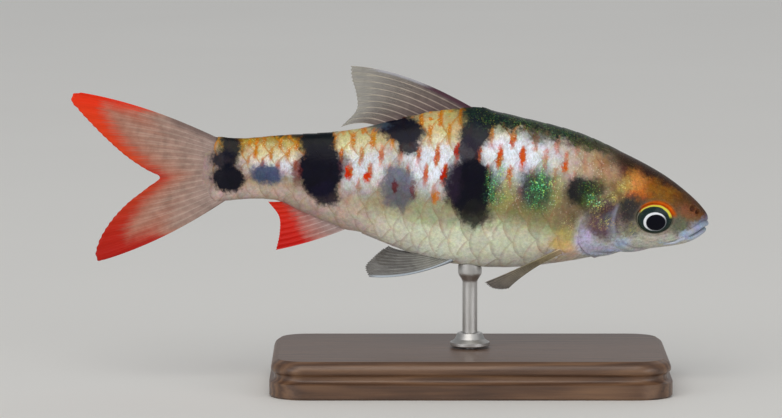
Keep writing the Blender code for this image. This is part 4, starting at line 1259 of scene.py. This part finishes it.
def finMesh(name, form, sign=1):
    columns, rows = (form["rays"] - 1) * fins["columnsPerRay"] + 1, fins["rows"]
    column = np.arange(columns)[:, None]
    t = np.linspace(0, 1, rows)[None]
    ray, leading = column / fins["columnsPerRay"], column / (columns - 1)
    gap = ray - np.round(ray)    # from the nearest ray, in rays
    ridge = rayRidges(form, ray, gap, t)
    joints = 0.5 + 0.5 * np.cos(t * 2 * math.pi * fins["jointsPerRay"])
    grid = finSheet(form, sign, gap, t)
    thick = fins["web"] * (1 - 0.5 * t) + fins["rootFlesh"] * (1 - t) ** 6
    thick = thick + form.get("rayHeight", fins["rayHeight"]) * ridge * (1 - 0.72 * t) * (0.93 + 0.07 * joints)
    thick = thick * (0.35 + 0.65 * np.minimum(fade(t, 1.0, 0.97), fade(leading, 1.0, 0.985)))
    out = np.cross(np.gradient(grid, axis=0), np.gradient(grid, axis=1))
    out /= np.maximum(np.linalg.norm(out, axis=2), 1e-9)[..., None]
    wave = fins["pucker"] * np.sin(2 * math.pi * gap) * t    # the web puckers between rays
    middle = grid + out * wave[..., None]
    halves = [middle + out * thick[..., None] / 2, middle - out * thick[..., None] / 2]
    points = np.concatenate([half.reshape(-1, 3) for half in halves])

    quads, _ = sheetFaces(columns, rows)
    half = columns * rows
    rim = gridRim(np.arange(half).reshape(columns, rows).T)
    nextRim = np.roll(rim, -1)
    rimFaces = np.stack([half + rim, half + nextRim, nextRim, rim], axis=1)
    across, outwards = np.linspace(0, 1, columns), np.linspace(0, fins["mapShare"], rows)
    flatMap = np.stack(np.meshgrid(across, outwards, indexing="ij"), axis=-1).reshape(-1, 2)
    flatMap = np.concatenate([flatMap, flatMap + (0, 0.5)])
    groups = [(faces, flatMap[faces]) for faces in (quads, half + quads[:, ::-1], rimFaces)]

    def both(grid):    # the same value on both faces of the web
        return np.tile(np.broadcast_to(grid, (columns, rows)).ravel(), 2)

    values = {
        "ridge": both(ridge),
        "outward": both(t),
        "leading": both(leading),
        "rayPlace": np.stack([both(ray), both(t), both(0.0)], axis=-1),
        "joint": both(joints * ridge),
        "redGap": both(redReach(form, grid, leading)),
        "place": points,
    }
    return buildMesh(name, inPlace(points), groups, values)


finLooks = {
    "dorsal": {
        "web": ((0, 11.5, 7.5, 7.8), (0.35, 20, 16, 13.5), (0.7, 23, 20, 15), (1, 28, 26, 18)),
        "ray": ((0, 22, 16, 14.5), (0.4, 42, 35, 29), (1, 46, 42, 32)),
        "webAlpha": (0.94, 0.38), "rayAlpha": (1.0, 0.62), "stripe": 0.55, "dark": (6.5, 3.5, 4.5),
        "edges": ((0.10, 0.0, 0.42, (7.5, 2.8, 4.5), 0.95), (0.06, 0.42, 0.80, (46, 47, 52), 0.75)),
    },
    "tail": {
        "web": ((0, 33, 25.5, 22.5), (0.25, 37, 25.5, 21), (0.6, 42, 23.5, 17), (1, 45, 23, 16)),
        "ray": ((0, 36, 28.5, 25), (0.4, 39.5, 27, 21.5), (1, 42, 23, 16.5)),
        "webAlpha": (1.0, 0.86), "rayAlpha": (1.0, 0.93), "stripe": 0.45, "dark": (25, 15.5, 13.5),
        "edges": ((0.10, 0.0, 0.34, (10.5, 7, 6.6), 0.6),),
        "soft": 2.1, "streaky": 4.0, "blush": (50, 12, 6),
        "reds": (
            (0, 82, 2.2, 0.2), (0.12, 76, 4, 0.5), (0.4, 62, 5.5, 1), (0.5, 48, 2, 0.8),
            (0.62, 50, 4, 0.9), (0.85, 46, 1.1, 0.2), (1, 41, 0.5, 0.2),
        ),
    },
    "anal": {
        "web": ((0, 42, 34, 33), (0.5, 43, 26, 22), (1, 44, 6, 3.5)),
        "ray": ((0, 50, 43, 42), (0.5, 49, 33, 29), (1, 50, 12, 8)),
        "webAlpha": (0.97, 0.85), "rayAlpha": (1.0, 0.92), "stripe": 0.25, "dark": (26, 11, 9.5),
        "soft": 1.3, "streaky": 5.0, "blush": (52, 7, 5),
        "reds": ((0, 54, 0.4, 0.2), (0.5, 62, 0.9, 0.2), (1, 66, 2, 0.3)),
    },
    "pelvic": {
        "web": ((0, 28, 28, 24), (0.5, 16, 15.5, 14.5), (1, 11, 10, 9)),
        "ray": ((0, 42, 43, 38), (0.5, 33, 33, 32), (1, 28, 28, 27)),
        "webAlpha": (0.94, 0.62), "rayAlpha": (1.0, 0.80), "stripe": 0.30, "dark": (7.5, 6, 4.5),
        "edges": ((0.085, 0.02, 0.97, (50, 57, 64), 0.9),),
    },
    "pectoral": {
        "web": ((0.12, 62, 46, 29), (0.3, 33, 26, 14), (0.52, 17, 13.5, 8), (1, 10, 8, 6.5)),
        "ray": ((0.12, 66, 50, 34), (0.3, 42, 35, 21), (0.52, 36, 31, 21), (1, 40, 35, 29)),
        "webAlpha": (1.0, 0.72), "rayAlpha": (1.0, 0.88), "stripe": 0.25, "dark": (5, 3.5, 2.5),
        "edges": ((0.10, 0.30, 0.60, (34, 30, 17), 0.6),),
    },
}


def finMaterial(name, look):
    looks = {"Roughness": 0.34, "Specular IOR Level": 0.15, "Coat Weight": 0.04, "Coat Roughness": 0.12}
    material, tree, shader = newMaterial(name, looks)
    ridge, out, leading = (attribute(tree, key) for key in ("ridge", "outward", "leading"))
    place, rayPlace = (attribute(tree, key, "Vector") for key in ("place", "rayPlace"))
    streaks = noise(stretched(rayPlace, (4.0, 1.2, 1.0)), 2.4, 3.0, 0.6)
    clouds = noise(place, 0.55, 4.0, 0.65)
    web = blend(streaks.step(0.3, 0.7, 0.0, look["stripe"]), ramp(out, look["web"]), look["dark"])
    shade = blend(ridge.step(0.25, 0.75), web, ramp(out, look["ray"]))
    shade = brighter(shade, clouds.step(0.3, 0.7, 0.80, 1.18))
    webAlpha, rayAlpha = (out.step(0.0, 1.0, *look[key]) for key in ("webAlpha", "rayAlpha"))
    alpha = addNode(tree, "Mix", {0: ridge, 2: webAlpha, 3: rayAlpha}, data_type="FLOAT")
    for near, start, end, tint, strength in look.get("edges", ()):    # a tinted length of the leading edge
        amount = leading.step(near, 0.4 * near) * out.step(start - 0.10, start + 0.04)
        amount = amount * out.step(end + 0.08, end - 0.08)
        shade = blend(amount * strength, shade, tint)
        alpha = alpha.maths("MAXIMUM", amount * 0.92)
    if "reds" in look:
        soft = look["soft"]
        gap = (streaks - 0.5) * look["streaky"] + attribute(tree, "redGap") + (clouds - 0.5) * 1.2
        shade = blend(gap.step(soft + 3.2, 0.0) * 0.55, shade, look["blush"])
        red = blend(ridge.step(0.2, 0.9, 0.0, 0.08), ramp(leading, look["reds"]), (85, 13, 4))
        amount = gap.step(soft, -0.6 * soft)
        shade = blend(amount * 0.98, shade, red)
        alpha = alpha.maths("MAXIMUM", amount * 0.97)
    join(shader, "Base Color", shade)
    join(shader, "Alpha", alpha)
    bump(shader, attribute(tree, "joint") + streaks, 0.25, 0.00008)
    return material


def makeFins():
    webs = {form: finMaterial(form + "Web", look) for form, look in finLooks.items()}
    for name, form, slot, nodes in (
        ("dorsal_fin", "dorsal", "fin", ("dorsal_fin",)),
        ("anal_fin", "anal", "red_fin", ("anal_fin",)),
        ("tail_fin", "tail", "red_fin", ("tail_lobe_upper", "tail_lobe_lower")),
    ):
        addPiece(name, finMesh(name, fins[form]), webs[form], nodes)
    for side, sign in (("right", -1), ("left", 1)):
        for form in ("pelvic", "pectoral"):
            name = form + "_fin_" + side
            addPiece(name, finMesh(name, fins[form], sign), webs[form], (name,))


makeFins()
print("fins made")


# Stand: walnut plinth, steel collar and rod

stand = {
    "length": 64.0,
    "width": 38.0,
    "corner": 6.0,
    "height": 6.0,
    "edge": ((0.35, 0.0), (0, 0.35), (0, 2.4), (0.8, 3.0), (0.8, 3.6), (0.3, 4.2), (0.5, 5.3), (1.4, 6.0)),
    "socket": ((1.9, 6.0), (1.7, 5.95), (1.5, 5.8), (1.5, 3.0)),
    "rod": 1.2,
    "rodFoot": 3.3,
    "pad": 1.9,
    "padStart": 16.6,
    "padFlare": 1.6,
    "padGap": 0.16,
    "collar": (
        (1.35, 6.3), (3.05, 6.3), (3.2, 6.45), (3.2, 6.9), (3.1, 7.0), (2.95, 7.0), (2.85, 7.1),
        (2.4, 7.45), (2.2, 7.9), (2.0, 8.4), (1.75, 8.5), (1.35, 8.5),
    ),
    "walnut": ((0.12, 5, 2.2, 1.1), (0.45, 11.5, 5.5, 2.7), (0.8, 20, 10.5, 5.2)),
    "steel": ((0.3, 50, 49, 47.5), (0.7, 62, 61, 59)),
}


def roundedLoop(length, width, corner, steps=14):
    points = []
    for x, y, start in ((1, 1, 0), (-1, 1, 90), (-1, -1, 180), (1, -1, 270)):
        for step in range(steps + 1):
            turn = math.radians(start + 90 * step / steps)
            across = x * (length / 2 - corner) + corner * math.cos(turn)
            points.append((across, y * (width / 2 - corner) + corner * math.sin(turn)))
    return np.array(points)


def woodMaterial():
    looks = {"Roughness": 0.42, "Coat Weight": 0.25, "Coat Roughness": 0.22}
    material, tree, shader = newMaterial("oiledWalnut", looks)
    place = addNode(tree, "TexCoord", output="Object")
    bend = noise(stretched(place, (12.0, 60.0, 60.0)), 1.0, 2.0, output="Color")
    grainAt = bend.vector("MULTIPLY_ADD", (0.0, 3.2, 3.2), stretched(place, (28.0, 300.0, 300.0)))
    inputs = {"Vector": grainAt, "Scale": 0.75, "Distortion": 5.0, "Detail": 3.0, "Detail Scale": 1.4}
    bands = addNode(tree, "TexWave", inputs, "Fac", wave_type="BANDS", bands_direction="Y")
    fibres = noise(stretched(place, (90.0, 2600.0, 2600.0)), 1.0, 3.0)
    join(shader, "Base Color", ramp(fibres * 0.55 + bands * 0.38, stand["walnut"]))
    pores = noise(stretched(place, (420.0, 5200.0, 5200.0)), 1.0, 1.0).step(0.62, 0.72)
    bump(shader, fibres * 0.3 - pores, 0.35, 0.00005)
    return material


def steelMaterial():
    material, tree, shader = newMaterial("brushedSteel", {"Metallic": 1.0})
    lines = noise(stretched(addNode(tree, "TexCoord", output="Object"), (900.0, 900.0, 60000.0)), 1.0, 2.0)
    join(shader, "Base Color", ramp(lines, stand["steel"]))
    join(shader, "Roughness", lines.step(0.3, 0.7, 0.38, 0.50))
    bump(shader, lines, 0.10, 0.000006)
    return material


def loopsMesh(name, loops):    # stacked closed loops with flat ends
    loops = np.asarray(loops, float)
    hubs = np.stack([loops[0].mean(axis=0), loops[-1].mean(axis=0)])
    mesh = cappedRings(name, loops, hubs, capSpots=0.5)
    mesh.set_sharp_from_angle(angle=math.radians(32))
    return mesh


def turned(profile, around=72):
    t = np.linspace(0, 2 * math.pi, around, endpoint=False)
    return [np.stack([r * np.cos(t), r * np.sin(t), 0 * t + z], axis=-1) for r, z in profile]


def makePlinth(material):
    profile = np.array(stand["edge"])
    fine = smoothPath(profile[2:], 26)
    fine[:, 1] = np.clip(fine[:, 1], 0, stand["height"])
    full = []
    for inset, height in [*profile[:2], *fine]:
        loop = roundedLoop(stand["length"] - 2 * inset, stand["width"] - 2 * inset, stand["corner"] - inset)
        full.append(np.column_stack([loop, np.full(len(loop), height)]))
    count = len(full[0])
    outer = full[-1]
    for shrink in (0.96, 0.6, 0.3):    # the top in rings, down to the socket's rim
        full.append(outer * (shrink, shrink, 0) + (0, 0, stand["height"]))
    turn = np.arctan2(outer[:, 1], outer[:, 0])
    for radius, height in stand["socket"]:
        full.append(np.column_stack([radius * np.cos(turn), radius * np.sin(turn), np.full(count, height)]))
    addPiece("plinth", loopsMesh("plinth", full), material, ("stand_base",))


def makeRod(material):
    foot = stand["rodFoot"]
    profile = [(1.0, foot), (stand["rod"], foot + 0.2)]
    profile += [(stand["rod"], h) for h in np.linspace(foot + 0.6, stand["padStart"], 12)]
    for f in np.linspace(0.1, 1, 9):
        radius = stand["rod"] + (stand["pad"] - stand["rod"]) * fade(f, 0, 1)
        profile.append((radius, stand["padStart"] + stand["padFlare"] * f))
    loops = turned(profile)
    # The pad's last ring follows the belly, a hair below the scales
    c, s = math.cos(noseDown), math.sin(noseDown)
    ring = loops[-1].copy()
    for radius in (1.0, 0.97, 0.9):
        flat = ring.copy()
        flat[:, :2] *= radius
        along = (snoutAt[0] - flat[:, 0]) * c
        for _ in range(6):
            belly = bellyAt(along, flat[:, 1])
            along = (snoutAt[0] - flat[:, 0] + belly * s) / c
        flat[:, 2] = snoutAt[2] + along * s + belly * c
        flat[:, 2] += 0.6 * (1 - radius) - stand["padGap"] - 0.1 * (radius == 1.0)
        loops.append(flat)
    addPiece("rod", loopsMesh("rod", loops), material, ("stand_rod",))


def bellyAt(along, side):    # how low the skin hangs there
    top, bottom, half = bodyAt(along)
    middle = bottom + body["widestLevel"] * (top - bottom)
    share = np.clip(np.abs(side) / half, 0, 1) ** (1 / body["bellyRound"])
    return middle - (middle - bottom) * np.sqrt(1 - share**2)


def makeStand():
    walnut, steel = woodMaterial(), steelMaterial()
    makePlinth(walnut)
    makeRod(steel)
    profile = list(stand["collar"])
    loops = turned(profile + [profile[0]])
    mesh = buildMesh("collar", np.concatenate(loops), [sheetFaces(len(loops), len(loops[0]), wrap=True)])
    mesh.set_sharp_from_angle(angle=math.radians(28))
    addPiece("collar", mesh, steel, ("stand_collar",))


makeStand()
print("stand made")


# Studio: a pale flat floor, soft lights and the camera

studio = {
    "aim": (-0.01268, 0.0, 0.0284),
    "shownWidth": 0.1255,
    "lens": 250.0,
    "sensor": 36.0,
    "elevation": 6.0,
    "floorRadius": 6.0,
    "floorShades": ((0.3, 82.74, 81.755, 78.8), (0.7, 84, 83, 80)),
    "lights": (
        ("key", (-0.36, -1.50, 1.65), 2.2, 23.0, (1.0, 0.975, 0.94)),
        ("rightFill", (1.30, -1.25, 0.12), 1.4, 11.0, (0.97, 0.98, 1.0)),
        ("leftFill", (-1.35, -1.25, 0.12), 1.4, 10.0, (0.97, 0.98, 1.0)),
        ("rim", (0.30, 1.50, 1.30), 1.6, 2.6, (1.0, 1.0, 1.0)),
    ),
    "world": 0.34,
}


def makeFloor():
    around = 64
    radii = np.concatenate([[0.02], np.geomspace(0.06, studio["floorRadius"], 14)]) / mm
    points = np.concatenate(turned([(r, 0.0) for r in radii], around))
    middle = (np.arange(around)[None], np.zeros((1, around, 2)))
    mesh = buildMesh("studioFloor", points, [sheetFaces(len(radii), around, wrap=True), middle])
    material, tree, shader = newMaterial("paleFloor", {"Roughness": 0.75, "Specular IOR Level": 0.2})
    clouds = noise(addNode(tree, "TexCoord", output="Object"), 9.0)
    join(shader, "Base Color", ramp(clouds, studio["floorShades"]))
    floor = bpy.data.objects.new("studio_floor", mesh)
    bpy.context.scene.collection.objects.link(floor)
    mesh.materials.append(material)


def makeLights():
    aim = Vector(studio["aim"])
    for name, place, size, power, tint in studio["lights"]:
        lamp = bpy.data.lights.new(name, "AREA")
        lamp.shape = "DISK"
        lamp.size, lamp.energy, lamp.color = size, power, tint
        holder = bpy.data.objects.new(name, lamp)
        holder.location = place
        holder.visible_camera = False
        holder.rotation_euler = (aim - Vector(place)).to_track_quat("-Z", "Y").to_euler()
        bpy.context.scene.collection.objects.link(holder)
    world = bpy.data.worlds.new("studio")
    world.use_nodes = True
    world.node_tree.nodes["Background"].inputs["Color"].default_value = (0.95, 0.97, 1.0, 1.0)
    world.node_tree.nodes["Background"].inputs["Strength"].default_value = studio["world"]
    bpy.context.scene.world = world


def makeCamera():
    lens = bpy.data.cameras.new("camera")
    lens.lens, lens.sensor_width = studio["lens"], studio["sensor"]
    lens.clip_start = 0.01
    camera = bpy.data.objects.new("camera", lens)
    tilt = math.radians(studio["elevation"])
    distance = studio["shownWidth"] * studio["lens"] / studio["sensor"]
    camera.location = Vector(studio["aim"]) + distance * Vector((0, -math.cos(tilt), math.sin(tilt)))
    camera.rotation_euler = (math.pi / 2 - tilt, 0, 0)
    bpy.context.scene.collection.objects.link(camera)
    bpy.context.scene.camera = camera
    bpy.context.scene.view_settings.view_transform = "Standard"


makeFloor()
makeLights()
makeCamera()
print("studio made")
